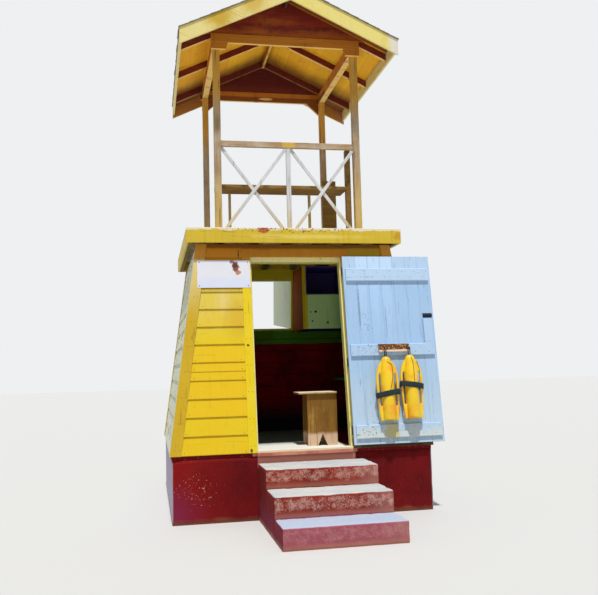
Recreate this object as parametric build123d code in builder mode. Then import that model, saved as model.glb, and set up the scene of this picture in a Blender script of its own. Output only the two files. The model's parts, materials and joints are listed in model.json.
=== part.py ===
"""A lifeguard tower: a small timber cabin with leaning walls on a masonry plinth, concrete steps up
to its door, a railed lookout deck on top and a gable shelter over the deck.

Frame: millimetres, origin at the centre of the plinth's underside, X to the right as seen from the
steps, Y towards the back and Z up. The door is modelled wide open, as it stands by day.
"""

import os
from math import asin, atan2, cos, radians, sin, tan

from build123d import *

os.makedirs("parts", exist_ok=True)

# Masonry
plinth_width = 2720
plinth_depth = 2800
plinth_height = 640
slab_thickness = 32
masonry_corner = 14
threshold_rise = 22
threshold_nose = 25
step_width = 1116
step_centre = 60
step_tops = (193, 387, 570)
step_goings = (410, 462, 520)
step_nosing = 16

# Leaning cabin walls
header_height = 123
wall_batter = 8.0
wall_thickness = 95
corner_board_width = 95
board_thickness = 20

# Doorway and its frame
doorway_width = 1000
doorway_height = 2065
jamb_thickness = 32
stop_width = 15
head_stop_drop = 50
casing_width = 90
head_board_depth = 92

# Door leaf and what it carries
leaf_gap = 6
leaf_thickness = 25
leaf_lift = 29
plank_count = 7
plank_groove = 4
ledge_inset = 25
ledge_thickness = 25
ledge_bottoms = (88, 951)
top_ledge_drop = 288
ledge_heights = (142, 130, 141)
ledge_chamfer = 6
lock_block_width = 105
lock_block_top = 1350
bolt_height = 1366
bolt_length = 106
bolt_inset = 18
bolt_radius = 6
bolt_plate_height = 46
bolt_plate_thickness = 4
bolt_keeper_places = (0.1, 0.6)
bolt_clearance = 1

# Hinges
hinge_heights = (180, 900)
top_hinge_drop = 165
pin_standoff = 8
pin_radius = 5
pin_clearance = 0.1
knuckle_length = 40
knuckle_gap = 0.3
hinge_plate_width = 62
strap_length = 260
strap_height = 30
strap_thickness = 4

# Rescue cans and their rack on the door
rack_left = 326
rack_width = 336
rack_height = 83
rack_bottom = 991
rack_thickness = 20
peg_radius = 7
peg_length = 62
peg_rise = 30
can_centres = (377, 640)
can_bottoms = (262, 275)
can_tilts = (0.5, 0.7)
can_length = 672
can_radius = 72
can_foot_chamfer = 12
can_nose_length = 190
can_tip_radius = 52
wing_half_width = 120
wing_foot_half = 94
wing_bow = 5
wing_widest = 400
wing_thickness = 26
wing_top_drop = 22
grip_reach = 24
grip_root = 12
grip_bottom = 150
grip_length = 340
band_places = (278, 345)
band_tilts = (-10, 8)
band_height = 58
webbing_thickness = 3.6
webbing_gap = 0.3
sling_width = 26

# Back window and its shutter
window_half_width = 345
window_height = 645
window_head_drop = 150
window_lining = 24
shutter_thickness = 24
shutter_angle = 80
shutter_gap = 0.3
shutter_batten = 90
shutter_batten_places = (0.12, 0.74)

# Sign plate
sign_width = 560
sign_height = 300
sign_left = -1065
sign_drop = 40
sign_thickness = 3
sign_corner = 8

# Lookout deck
deck_overhang = 122.5
deck_height = 164
deck_fascia = 25
joist_width = 45
joist_depth = 130
joist_count = 7
deck_board = 28

# Posts, rail and bench
post_size = 76
post_inset = 375
foot_length = 150
foot_height = 42
rail_rise = 992
rail_height = 65
rail_depth = 45
baluster_width = 50
baluster_depth = 34
brace_width = 34
brace_thickness = 16
bench_rise = 572
bench_thickness = 35
bench_depth = 330
bench_leg = 30
bench_leg_places = (-640, 300)
cleat_height = 60
cleat_thickness = 34
short_post_size = 60
short_post_offset = (-78, 120)
short_post_rise = 1017
short_board_width = 190
short_board_thickness = 28
short_board_rise = 1032

# Gable roof
eave_overhang = 420
gable_overhang = 415
roof_pitch = 25.0
eave_rise = 1988
barge_depth = 166
barge_thickness = 25
roof_board = 20
rafter_depth = 80
rafter_width = 50
ridge_thickness = 30
ridge_depth = 112
covering_thickness = 10
covering_overhang = 12
eave_fascia_height = 140
plate_depth = 130
tie_front_depth = 104
tie_back_depth = 130
tie_thickness = 38
tie_overhang = 21
gable_board = 20
bracket_length = 190
bracket_drop = 74
knee_length = 240
knee_drop = 150

# Furniture seen through the doorway
cabinet_left = 370
cabinet_front_y = 390
cabinet_height = 814
cabinet_shelf_rise = 441
cabinet_top_drop = 30
cabinet_panel = 18
cabinet_stile = 60
shelf_heights = (1010, 1350)
shelf_depths = (110, 300)
shelf_thickness = 30
shelf_front = -760
shelf_back = 960
stool_left = 20
stool_width = 430
stool_depth = 320
stool_height = 580
stool_top_thickness = 22
stool_front = -985
stool_side_width = 330
stool_side_thickness = 24
stool_notch_width = 110
stool_notch_height = 130
stool_stretcher = 90
stool_corner = 8

# Places worked out from the sizes above
floor_top = plinth_height + slab_thickness
threshold_top = floor_top + threshold_rise
wall_height = doorway_height + header_height
wall_top = floor_top + wall_height
lean = tan(radians(wall_batter))
deck_width = plinth_width - 2 * wall_height * lean + 2 * deck_overhang
deck_depth = plinth_depth - 2 * wall_height * lean + 2 * deck_overhang
window_head = wall_top - window_head_drop
window_sill = window_head - window_height
cabinet_top = wall_top - cabinet_top_drop
cabinet_bottom = cabinet_top - cabinet_height
cabinet_shelf = cabinet_bottom + cabinet_shelf_rise
deck_surface = wall_top + joist_depth + deck_board
rail_bottom = deck_surface + rail_rise
bench_top = deck_surface + bench_rise
post_x = deck_width / 2 - post_inset
post_y = deck_depth / 2 - post_inset
roof_half_width = post_x + eave_overhang
roof_half_depth = post_y + gable_overhang
eave_height = deck_surface + eave_rise
wall_run = wall_thickness / cos(radians(wall_batter))
doorway_half = doorway_width / 2
frame_half = doorway_half + jamb_thickness
frame_top = doorway_height + jamb_thickness
stop_half = doorway_half - stop_width
rebate_depth = leaf_thickness - board_thickness + leaf_gap
leaf_width = doorway_width - 2 * leaf_gap
leaf_height = doorway_height - leaf_gap - leaf_lift
pin_offset = board_thickness + pin_standoff
leaf_back = pin_offset + pin_standoff
leaf_face = leaf_back + leaf_thickness
leaf_left = doorway_half + leaf_gap
ledge_places = (*ledge_bottoms, doorway_height - top_ledge_drop)
hinge_places = (*hinge_heights, doorway_height - top_hinge_drop)
knuckle_radius = pin_standoff
fall = cos(radians(roof_pitch))
slope = tan(radians(roof_pitch))


def leaning_plane(outward, along):
    """The outer face of one cabin wall: its local Y axis runs up the slope of the wall."""
    half = abs(outward[0]) * plinth_width / 2 + abs(outward[1]) * plinth_depth / 2
    tilt = radians(wall_batter)
    return Plane(
        origin=(outward[0] * half, outward[1] * half, floor_top),
        x_dir=along,
        z_dir=(outward[0] * cos(tilt), outward[1] * cos(tilt), sin(tilt)),
    )


front = leaning_plane((0, -1), (1, 0, 0))
back = leaning_plane((0, 1), (-1, 0, 0))
left = leaning_plane((-1, 0), (0, -1, 0))
right = leaning_plane((1, 0), (0, 1, 0))


def across_front(height):
    """A plane square to the front wall's slope, its local Y axis pointing into the cabin."""
    start = front.from_local_coords((0, height, 0))
    return Plane(origin=start, x_dir=(1, 0, 0), z_dir=front.y_dir)


def at_y(y):
    """An upright plane at a place along Y, facing the front."""
    return Plane.XZ.offset(-y)


def save(piece, name):
    """Labels one finished piece and writes it to its own file."""
    piece.part.label = name
    export_step(piece.part, f"parts/{name}.step")


def upright_box(x, y, z, mode=Mode.ADD):
    """Adds or cuts a level box between pairs of places along X, Y and Z."""
    with BuildSketch(Plane.XY.offset(z[0])) as outline:
        with Locations(((x[0] + x[1]) / 2, (y[0] + y[1]) / 2)):
            Rectangle(x[1] - x[0], y[1] - y[0])
    extrude(outline.sketch, amount=z[1] - z[0], mode=mode)


def leaning_box(face, x, up, depth, mode=Mode.ADD):
    """Adds or cuts a box drawn on a leaning plane; depth is its two places along the normal."""
    with BuildSketch(face.offset(depth[0])) as outline:
        with Locations(((x[0] + x[1]) / 2, (up[0] + up[1]) / 2)):
            Rectangle(x[1] - x[0], up[1] - up[0])
    extrude(outline.sketch, amount=depth[1] - depth[0], mode=mode)


def cabin_form(inset, mode=Mode.ADD):
    """Adds or keeps the cabin's leaning block, with each face moved inwards by a level distance."""
    levels = []
    for height in (floor_top, wall_top):
        run = inset + (height - floor_top) * lean
        with BuildSketch(Plane.XY.offset(height)) as level:
            Rectangle(plinth_width - 2 * run, plinth_depth - 2 * run)
        levels.append(level.sketch)
    loft(levels, ruled=True, mode=mode)


def roof_line(x):
    """Height of the barge boards' lower edge at a distance from the ridge line."""
    return eave_height + (roof_half_width - abs(x)) * slope


def roof_band(side, inner, outer, low, high):
    """Draws one side's section of a roof layer, between two heights square to the slope."""
    with BuildLine() as outline:
        Polyline(
            (side * inner, roof_line(inner) + low / fall),
            (side * outer, roof_line(outer) + low / fall),
            (side * outer, roof_line(outer) + high / fall),
            (side * inner, roof_line(inner) + high / fall),
            close=True,
        )
    make_face(outline.line.edges())


# Masonry plinth, floor slab and steps
with BuildPart() as plinth:
    Box(plinth_width, plinth_depth, plinth_height, align=(Align.CENTER, Align.CENTER, Align.MIN))
    fillet(plinth.edges().filter_by(Axis.Z), masonry_corner)
save(plinth, "plinth")

with BuildPart() as floor_slab:
    with BuildSketch(Plane.XY.offset(plinth_height)):
        RectangleRounded(plinth_width, plinth_depth, masonry_corner)
    extrude(amount=slab_thickness)
    upright_box(
        (-frame_half, frame_half),
        (-plinth_depth / 2, -plinth_depth / 2 + wall_run),
        (floor_top, threshold_top),
    )
    split(bisect_by=front, keep=Keep.BOTTOM)
    upright_box(
        (-doorway_half, doorway_half),
        (-plinth_depth / 2 - threshold_nose, -plinth_depth / 2 + threshold_nose),
        (plinth_height, threshold_top),
    )
save(floor_slab, "floor_slab")

step_front = -plinth_depth / 2
for name, top, going in zip(
    ("step_top", "step_middle", "step_bottom"), reversed(step_tops), reversed(step_goings)
):
    with BuildPart() as step:
        upright_box(
            (step_centre - step_width / 2, step_centre + step_width / 2),
            (step_front - going, step_front),
            (0, top),
        )
        fillet(step.faces().sort_by(Axis.Z)[-1].edges().sort_by(Axis.Y)[0], step_nosing)
    save(step, name)
    step_front -= going

# The solid block that the cabin walls are cut from, and the room inside them
with BuildPart() as cabin_block:
    cabin_form(0)
with BuildPart() as room_block:
    cabin_form(wall_run)

front_wall_reach = plinth_width
wall_stretches = {
    "front_wall_left": (front, -front_wall_reach, -frame_half, 0, 2 * wall_height),
    "front_wall_right": (front, frame_half, front_wall_reach, 0, 2 * wall_height),
    "front_wall_header": (front, -frame_half, frame_half, frame_top, 2 * wall_height),
}
for name, (face, start, end, low, high) in wall_stretches.items():
    with BuildPart() as wall:
        leaning_box(face, (start, end), (low - wall_thickness, high), (0, -wall_thickness))
        if low > 0:
            split(bisect_by=across_front(low), keep=Keep.TOP)
        add(cabin_block.part, mode=Mode.INTERSECT)
    save(wall, name)

for name, face in (("left_wall", left), ("right_wall", right)):
    with BuildPart() as wall:
        leaning_box(
            face, (-plinth_depth, plinth_depth), (-wall_thickness, 2 * wall_height), (0, -wall_thickness)
        )
        add(cabin_block.part, mode=Mode.INTERSECT)
        split(bisect_by=front.offset(-wall_thickness), keep=Keep.BOTTOM)
        split(bisect_by=back.offset(-wall_thickness), keep=Keep.BOTTOM)
    save(wall, name)

lining_half = window_half_width + window_lining
for name, low, high in (
    ("back_wall_below_window", floor_top, window_sill - window_lining),
    ("back_wall_above_window", window_head + window_lining, wall_top),
):
    with BuildPart() as wall:
        upright_box((-lining_half, lining_half), (0, plinth_depth), (low, high))
        add(cabin_block.part, mode=Mode.INTERSECT)
        split(bisect_by=back.offset(-wall_thickness), keep=Keep.TOP)
    save(wall, name)

with BuildPart() as back_wall_sides:
    for side in (-1, 1):
        reach = sorted((side * lining_half, side * plinth_width))
        upright_box(reach, (0, plinth_depth), (floor_top, wall_top))
    add(cabin_block.part, mode=Mode.INTERSECT)
    split(bisect_by=back.offset(-wall_thickness), keep=Keep.TOP)
save(back_wall_sides, "back_wall_sides")

# Corner boards: an angle of two boards at each corner of the cabin
board_run = board_thickness / cos(radians(wall_batter))
with BuildPart() as corner_boards:
    for side_x in (-1, 1):
        for side_y in (-1, 1):
            for height in (floor_top, wall_top):
                run = (height - floor_top) * lean
                middle_x = side_x * (plinth_width / 2 - run)
                middle_y = side_y * (plinth_depth / 2 - run)
                with BuildSketch(Plane.XY.offset(height)):
                    with Locations((middle_x, middle_y)):
                        Rectangle(2 * corner_board_width, 2 * corner_board_width)
            loft(ruled=True)
    cabin_form(-board_run, mode=Mode.INTERSECT)
    add(cabin_block.part, mode=Mode.SUBTRACT)
save(corner_boards, "corner_boards")

# Door frame: rebated jambs standing on the threshold, and a rebated head on top of them
with BuildPart() as door_jambs:
    for side in (-1, 1):
        with BuildSketch(across_front(0)):
            with BuildLine():
                Polyline(
                    (side * frame_half, 0),
                    (side * doorway_half, 0),
                    (side * doorway_half, rebate_depth),
                    (side * stop_half, rebate_depth),
                    (side * stop_half, wall_thickness),
                    (side * frame_half, wall_thickness),
                    close=True,
                )
            make_face()
    extrude(amount=doorway_height)
    split(bisect_by=Plane.XY.offset(threshold_top), keep=Keep.TOP)
save(door_jambs, "door_jambs")

with BuildPart() as door_head:
    leaning_box(front, (-frame_half, frame_half), (doorway_height, frame_top), (0, -wall_thickness))
    leaning_box(
        front,
        (-stop_half, stop_half),
        (doorway_height - head_stop_drop, doorway_height),
        (-rebate_depth, -wall_thickness),
    )
save(door_head, "door_head")

with BuildPart() as door_casing_sides:
    for side in (-1, 1):
        reach = sorted((side * doorway_half, side * (doorway_half + casing_width)))
        leaning_box(front, reach, (0, doorway_height), (0, board_thickness))
save(door_casing_sides, "door_casing_sides")

with BuildPart() as door_head_board:
    leaning_box(
        front,
        (-doorway_half - casing_width, doorway_half + casing_width),
        (doorway_height, doorway_height + head_board_depth),
        (0, board_thickness),
    )
save(door_head_board, "door_head_board")

# Bare sign plate, fixed across the corner board and the door casing
sign_bottom = doorway_height - sign_drop - sign_height
with BuildPart() as sign_plate:
    leaning_box(
        front,
        (sign_left, sign_left + sign_width),
        (sign_bottom, sign_bottom + sign_height),
        (board_thickness, board_thickness + sign_thickness),
    )
    fillet(sign_plate.edges().filter_by(Axis(origin=(0, 0, 0), direction=front.z_dir)), sign_corner)
save(sign_plate, "sign_plate")

# Window in the back wall: a lining round the hole, and a shutter that stands open outside
with BuildPart() as window_frame:
    upright_box(
        (-lining_half, lining_half),
        (0, plinth_depth),
        (window_sill - window_lining, window_head + window_lining),
    )
    add(cabin_block.part, mode=Mode.INTERSECT)
    split(bisect_by=back.offset(-wall_thickness), keep=Keep.TOP)
    with BuildSketch(at_y(plinth_depth)):
        with Locations((0, (window_sill + window_head) / 2)):
            Rectangle(2 * window_half_width, window_head - window_sill)
    extrude(amount=2 * plinth_depth, mode=Mode.SUBTRACT)
save(window_frame, "window_frame")

window_up = (window_sill - floor_top) / cos(radians(wall_batter))
window_tall = (window_head - window_sill) / cos(radians(wall_batter))
swing_across = cos(radians(shutter_angle))
swing_out = sin(radians(shutter_angle))
shutter_plane = Plane(
    origin=back.from_local_coords((-window_half_width, window_up, shutter_gap)),
    x_dir=back.x_dir * swing_across + back.z_dir * swing_out,
    z_dir=back.z_dir * swing_across - back.x_dir * swing_out,
)
with BuildPart() as window_shutter:
    leaning_box(shutter_plane, (0, 2 * window_half_width), (0, window_tall), (0, shutter_thickness))
    for batten in shutter_batten_places:
        low = batten * window_tall
        leaning_box(
            shutter_plane,
            (ledge_inset, 2 * window_half_width - ledge_inset),
            (low, low + shutter_batten),
            (shutter_thickness, 2 * shutter_thickness),
        )
save(window_shutter, "window_shutter")

# Lookout deck: joists on the walls, boards on the joists and a fascia round the edge
inner_width = deck_width - 2 * deck_fascia
inner_depth = deck_depth - 2 * deck_fascia
with BuildPart() as deck_joists:
    with BuildSketch(Plane.XY.offset(wall_top)):
        with GridLocations((inner_width - joist_width) / (joist_count - 1), 1, joist_count, 1):
            Rectangle(joist_width, inner_depth)
    extrude(amount=joist_depth)
save(deck_joists, "deck_joists")

with BuildPart() as deck_boards:
    with BuildSketch(Plane.XY.offset(wall_top + joist_depth)):
        Rectangle(inner_width, inner_depth)
    extrude(amount=deck_board)
save(deck_boards, "deck_boards")

with BuildPart() as deck_fascias_long:
    with BuildSketch(Plane.XY.offset(wall_top)):
        with GridLocations(1, deck_depth - deck_fascia, 1, 2):
            Rectangle(deck_width, deck_fascia)
    extrude(amount=deck_height)
save(deck_fascias_long, "deck_fascias_long")

with BuildPart() as deck_fascias_short:
    with BuildSketch(Plane.XY.offset(wall_top)):
        with GridLocations(deck_width - deck_fascia, 1, 2, 1):
            Rectangle(deck_fascia, inner_depth)
    extrude(amount=deck_height)
save(deck_fascias_short, "deck_fascias_short")

# Corner posts, with a foot block beside each, and the plates on top of them
half_post = post_size / 2
plate_top = roof_line(post_x - half_post) + (barge_depth - roof_board - rafter_depth) / fall
post_top = plate_top - plate_depth
with BuildPart() as posts:
    with BuildSketch(Plane.XY.offset(deck_surface)):
        with GridLocations(2 * post_x, 2 * post_y, 2, 2):
            Rectangle(post_size, post_size)
    extrude(amount=post_top - deck_surface)
save(posts, "posts")

with BuildPart() as post_feet:
    for start in (-post_x + half_post, post_x + half_post):
        for middle_y in (-post_y, post_y):
            upright_box(
                (start, start + foot_length),
                (middle_y - half_post, middle_y + half_post),
                (deck_surface, deck_surface + foot_height),
            )
save(post_feet, "post_feet")

with BuildPart() as side_plates:
    with BuildSketch(Plane.XY.offset(post_top)):
        with GridLocations(2 * post_x, 1, 2, 1):
            Rectangle(post_size, 2 * post_y + post_size)
    extrude(amount=plate_depth)
save(side_plates, "side_plates")

# Front railing: a top rail, a baluster in the middle and a cross of battens in each bay
rail_half = post_x - half_post
with BuildPart() as front_top_rail:
    upright_box(
        (-rail_half, rail_half),
        (-post_y - rail_depth / 2, -post_y + rail_depth / 2),
        (rail_bottom, rail_bottom + rail_height),
    )
save(front_top_rail, "front_top_rail")

with BuildPart() as front_baluster:
    upright_box(
        (-baluster_width / 2, baluster_width / 2),
        (-post_y - baluster_depth / 2, -post_y + baluster_depth / 2),
        (deck_surface, rail_bottom),
    )
save(front_baluster, "front_baluster")

bay_width = rail_half - baluster_width / 2
bay_height = rail_bottom - deck_surface
bay_diagonal = Vector(bay_width, bay_height)
for name, lift, shift in (("front_braces_rising", 1, 0), ("front_braces_falling", -1, brace_thickness)):
    with BuildPart() as braces:
        with BuildSketch(at_y(-post_y - brace_thickness + shift)):
            for side in (-1, 1):
                centre = (side * (baluster_width + bay_width) / 2, deck_surface + bay_height / 2)
                with BuildLine():
                    Polyline(
                        (centre[0] - bay_width / 2, centre[1] - lift * (bay_height / 2 - brace_width)),
                        (centre[0] - bay_width / 2, centre[1] - lift * bay_height / 2),
                        (centre[0] - bay_width / 2 + brace_width * bay_width / bay_diagonal.length,
                         centre[1] - lift * bay_height / 2),
                        (centre[0] + bay_width / 2, centre[1] + lift * (bay_height / 2 - brace_width)),
                        (centre[0] + bay_width / 2, centre[1] + lift * bay_height / 2),
                        (centre[0] + bay_width / 2 - brace_width * bay_width / bay_diagonal.length,
                         centre[1] + lift * bay_height / 2),
                        close=True,
                    )
                make_face()
        extrude(amount=-brace_thickness)
        add(post_feet.part, mode=Mode.SUBTRACT)
    save(braces, name)

# Bench plank behind the front posts, with its cleats and thin legs
bench_front = -post_y + half_post
short_post_x = post_x + short_post_offset[0]
short_post_y = -post_y + short_post_offset[1]
bench_right = short_post_x - short_post_size / 2
bench_under = bench_top - bench_thickness
with BuildPart() as bench_seat:
    upright_box(
        (-post_x, bench_right),
        (bench_front, bench_front + bench_depth),
        (bench_under, bench_top),
    )
save(bench_seat, "bench_seat")

with BuildPart() as bench_supports:
    upright_box(
        (-post_x - half_post, -post_x + half_post),
        (bench_front, bench_front + cleat_thickness),
        (bench_under - cleat_height, bench_under),
    )
    for place in bench_leg_places:
        upright_box(
            (place - bench_leg / 2, place + bench_leg / 2),
            (bench_front + bench_depth - 2 * bench_leg, bench_front + bench_depth - bench_leg),
            (deck_surface, bench_under),
        )
save(bench_supports, "bench_supports")

with BuildPart() as short_posts:
    upright_box(
        (short_post_x - short_post_size / 2, short_post_x + short_post_size / 2),
        (short_post_y - short_post_size / 2, short_post_y + short_post_size / 2),
        (deck_surface, deck_surface + short_post_rise),
    )
    board_start = post_x - half_post
    upright_box(
        (board_start, board_start + short_board_width),
        (post_y - half_post - short_board_thickness, post_y - half_post),
        (deck_surface, deck_surface + short_board_rise),
    )
save(short_posts, "short_posts")

# Roof timbers: tie beams with brackets, ridge board and rafters notched over the plates
tie_half = post_x + half_post + tie_overhang
with BuildPart() as tie_beams:
    upright_box(
        (-tie_half, tie_half),
        (-post_y - half_post - tie_thickness, -post_y - half_post),
        (plate_top - tie_front_depth, plate_top),
    )
    upright_box(
        (-tie_half, tie_half),
        (post_y + half_post, post_y + half_post + tie_thickness),
        (plate_top - tie_back_depth, plate_top),
    )
save(tie_beams, "tie_beams")

bracket_top = plate_top - tie_front_depth
with BuildPart() as tie_brackets:
    with BuildSketch(at_y(-post_y - half_post)):
        for side in (-1, 1):
            with BuildLine():
                Polyline(
                    (side * tie_half, bracket_top),
                    (side * (tie_half - bracket_length), bracket_top),
                    (side * (tie_half - bracket_length + bracket_drop / 3), bracket_top - bracket_drop),
                    (side * tie_half, bracket_top - bracket_drop),
                    close=True,
                )
            make_face()
    extrude(amount=tie_thickness)
    knee_top = plate_top - tie_back_depth
    with BuildSketch(at_y(post_y + half_post)):
        for side in (-1, 1):
            with BuildLine():
                Polyline(
                    (side * (post_x + half_post), knee_top),
                    (side * (post_x + half_post - knee_length), knee_top),
                    (side * (post_x - half_post), knee_top - knee_drop),
                    (side * (post_x + half_post), knee_top - knee_drop),
                    close=True,
                )
            make_face()
    extrude(amount=-tie_thickness)
save(tie_brackets, "tie_brackets")

board_underside = barge_depth - roof_board
ridge_half = ridge_thickness / 2
ridge_top = roof_line(ridge_half) + barge_depth / fall
gable_reach = roof_half_depth - barge_thickness
eave_inside = roof_half_width - barge_thickness
with BuildPart() as ridge_board:
    upright_box((-ridge_half, ridge_half), (-gable_reach, gable_reach), (ridge_top - ridge_depth, ridge_top))
save(ridge_board, "ridge_board")

with BuildPart() as rafters:
    for start in (-post_y - half_post, -rafter_width / 2, post_y + half_post - rafter_width):
        with BuildSketch(at_y(start)):
            for side in (-1, 1):
                roof_band(side, ridge_half, eave_inside, board_underside - rafter_depth, board_underside)
        extrude(amount=-rafter_width)
    add(side_plates.part, mode=Mode.SUBTRACT)
save(rafters, "rafters")

with BuildPart() as roof_boards:
    with BuildSketch(at_y(-gable_reach)):
        for side in (-1, 1):
            roof_band(side, ridge_half, eave_inside, board_underside, barge_depth)
    extrude(amount=-2 * gable_reach)
save(roof_boards, "roof_boards")

with BuildPart() as roof_covering:
    with BuildSketch(at_y(-roof_half_depth - covering_overhang)):
        for side in (-1, 1):
            roof_band(
                side,
                ridge_half,
                roof_half_width + covering_overhang,
                barge_depth,
                barge_depth + covering_thickness,
            )
    extrude(amount=-2 * (roof_half_depth + covering_overhang))
save(roof_covering, "roof_covering")

with BuildPart() as gable_boards:
    for start, deep in (
        (-post_y - half_post, gable_board),
        (post_y + half_post, -gable_board),
    ):
        with BuildSketch(at_y(start)):
            with BuildLine():
                Polyline(
                    (-roof_half_width, roof_line(roof_half_width) + board_underside / fall),
                    (0, roof_line(0) + board_underside / fall),
                    (roof_half_width, roof_line(roof_half_width) + board_underside / fall),
                    close=True,
                )
            make_face()
        extrude(amount=deep)
    split(bisect_by=Plane.XY.offset(plate_top), keep=Keep.TOP)
    add(ridge_board.part, mode=Mode.SUBTRACT)
save(gable_boards, "gable_boards")

for name, side in (("barge_boards_left", -1), ("barge_boards_right", 1)):
    with BuildPart() as barge_boards:
        for start in (-roof_half_depth, gable_reach):
            with BuildSketch(at_y(start)):
                roof_band(side, 0, roof_half_width, 0, barge_depth)
            extrude(amount=-barge_thickness)
    save(barge_boards, name)

with BuildPart() as eave_fascias:
    with BuildSketch(at_y(-gable_reach)):
        for side in (-1, 1):
            top = roof_line(roof_half_width) + barge_depth / fall
            with BuildLine():
                Polyline(
                    (side * eave_inside, top - eave_fascia_height),
                    (side * roof_half_width, top - eave_fascia_height),
                    (side * roof_half_width, top),
                    (side * eave_inside, roof_line(eave_inside) + barge_depth / fall),
                    close=True,
                )
            make_face()
    extrude(amount=-2 * gable_reach)
save(eave_fascias, "eave_fascias")

# Wall cabinet in the right back corner: an open shelf over a closed cupboard
with BuildPart() as wall_cabinet:
    upright_box(
        (cabinet_left, plinth_width / 2),
        (cabinet_front_y, plinth_depth / 2),
        (cabinet_bottom, cabinet_top),
    )
    add(room_block.part, mode=Mode.INTERSECT)
    room_x = plinth_width / 2 - wall_run - (cabinet_top - floor_top) * lean
    room_y = plinth_depth / 2 - wall_run - (cabinet_top - floor_top) * lean
    for low, high in ((cabinet_shelf, cabinet_top), (cabinet_bottom, cabinet_shelf - cabinet_panel)):
        with BuildSketch(Plane.XY.offset(low + cabinet_panel)):
            with Locations((cabinet_left + cabinet_stile, cabinet_front_y)):
                Rectangle(
                    room_x - cabinet_left - cabinet_stile - cabinet_panel,
                    room_y - cabinet_front_y - cabinet_panel,
                    align=Align.MIN,
                )
        extrude(amount=high - low - 2 * cabinet_panel, mode=Mode.SUBTRACT)
save(wall_cabinet, "wall_cabinet")

with BuildPart() as cabinet_front:
    upright_box(
        (cabinet_left + cabinet_stile / 2, room_x),
        (cabinet_front_y - cabinet_panel, cabinet_front_y),
        (cabinet_bottom, cabinet_shelf),
    )
save(cabinet_front, "cabinet_front")

# Shelves along the right wall
with BuildPart() as side_shelves:
    for height, depth in zip(shelf_heights, shelf_depths):
        wall_x = plinth_width / 2 - wall_run - (height + shelf_thickness - floor_top) * lean
        upright_box(
            (wall_x - depth, plinth_width / 2),
            (shelf_front, shelf_back),
            (height, height + shelf_thickness),
        )
    add(room_block.part, mode=Mode.INTERSECT)
save(side_shelves, "side_shelves")

# Plank stool just inside the doorway
stool_right = stool_left + stool_width
stool_under = floor_top + stool_height - stool_top_thickness
with BuildPart() as stool_top:
    upright_box(
        (stool_left, stool_right),
        (stool_front, stool_front + stool_depth),
        (stool_under, stool_under + stool_top_thickness),
    )
    fillet(stool_top.edges().filter_by(Axis.Z), stool_corner)
save(stool_top, "stool_top")

stool_middle = stool_right - stool_side_width / 2
with BuildPart() as stool_frame:
    for start in (stool_front + stool_side_thickness, stool_front + stool_depth - 2 * stool_side_thickness):
        with BuildSketch(at_y(start)):
            with Locations((stool_middle, (floor_top + stool_under) / 2)):
                Rectangle(stool_side_width, stool_under - floor_top)
            with BuildLine():
                Polyline(
                    (stool_middle - stool_notch_width / 2, floor_top),
                    (stool_middle, floor_top + stool_notch_height),
                    (stool_middle + stool_notch_width / 2, floor_top),
                    close=True,
                )
            make_face(mode=Mode.SUBTRACT)
        extrude(amount=-stool_side_thickness)
    upright_box(
        (stool_middle - stool_side_thickness / 2, stool_middle + stool_side_thickness / 2),
        (stool_front + stool_side_thickness, stool_front + stool_depth - stool_side_thickness),
        (stool_under - stool_stretcher, stool_under),
    )
save(stool_frame, "stool_frame")

# Hinges: pintles on the right casing carry the eyes of the door's straps
with BuildPart() as hinge_plates:
    for height in hinge_places:
        with BuildSketch(across_front(height - knuckle_length)):
            with Locations((doorway_half, -pin_offset)):
                Circle(knuckle_radius)
            with Locations((doorway_half, -board_thickness)):
                Rectangle(hinge_plate_width, strap_thickness, align=(Align.MIN, Align.MAX))
        extrude(amount=knuckle_length)
        with BuildSketch(across_front(height)):
            with Locations((doorway_half, -pin_offset)):
                Circle(pin_radius)
        extrude(amount=knuckle_length + pin_radius)
save(hinge_plates, "hinge_plates")

with BuildPart() as door_straps:
    for height in hinge_places:
        eye_low = height + knuckle_gap
        with BuildSketch(across_front(eye_low)):
            with Locations((doorway_half, -pin_offset)):
                Circle(knuckle_radius)
        extrude(amount=knuckle_length - knuckle_gap)
        strap_low = height + (knuckle_length - strap_height) / 2
        with BuildSketch(front.offset(leaf_back)):
            with BuildLine():
                Polyline(
                    (doorway_half, strap_low),
                    (doorway_half + strap_length, strap_low + strap_height / 4),
                    (doorway_half + strap_length, strap_low + strap_height * 3 / 4),
                    (doorway_half, strap_low + strap_height),
                    close=True,
                )
            make_face()
        extrude(amount=-strap_thickness)
        with BuildSketch(across_front(eye_low)):
            with Locations((doorway_half, -pin_offset)):
                Circle(pin_radius + pin_clearance)
        extrude(amount=knuckle_length, mode=Mode.SUBTRACT)
save(door_straps, "door_straps")

# Door leaf of upright planks, open against the wall, so that its inside faces outwards
leaf_top = leaf_lift + leaf_height
leaf_right = leaf_left + leaf_width
plank_width = leaf_width / plank_count
with BuildPart() as door_leaf:
    leaning_box(front, (leaf_left, leaf_right), (leaf_lift, leaf_top), (leaf_back, leaf_face))
    for joint in range(1, plank_count):
        place = leaf_left + joint * plank_width
        for depth in ((leaf_back, leaf_back + plank_groove), (leaf_face - plank_groove, leaf_face)):
            leaning_box(
                front,
                (place - plank_groove / 2, place + plank_groove / 2),
                (leaf_lift, leaf_top),
                depth,
                mode=Mode.SUBTRACT,
            )
save(door_leaf, "door_leaf")

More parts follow.
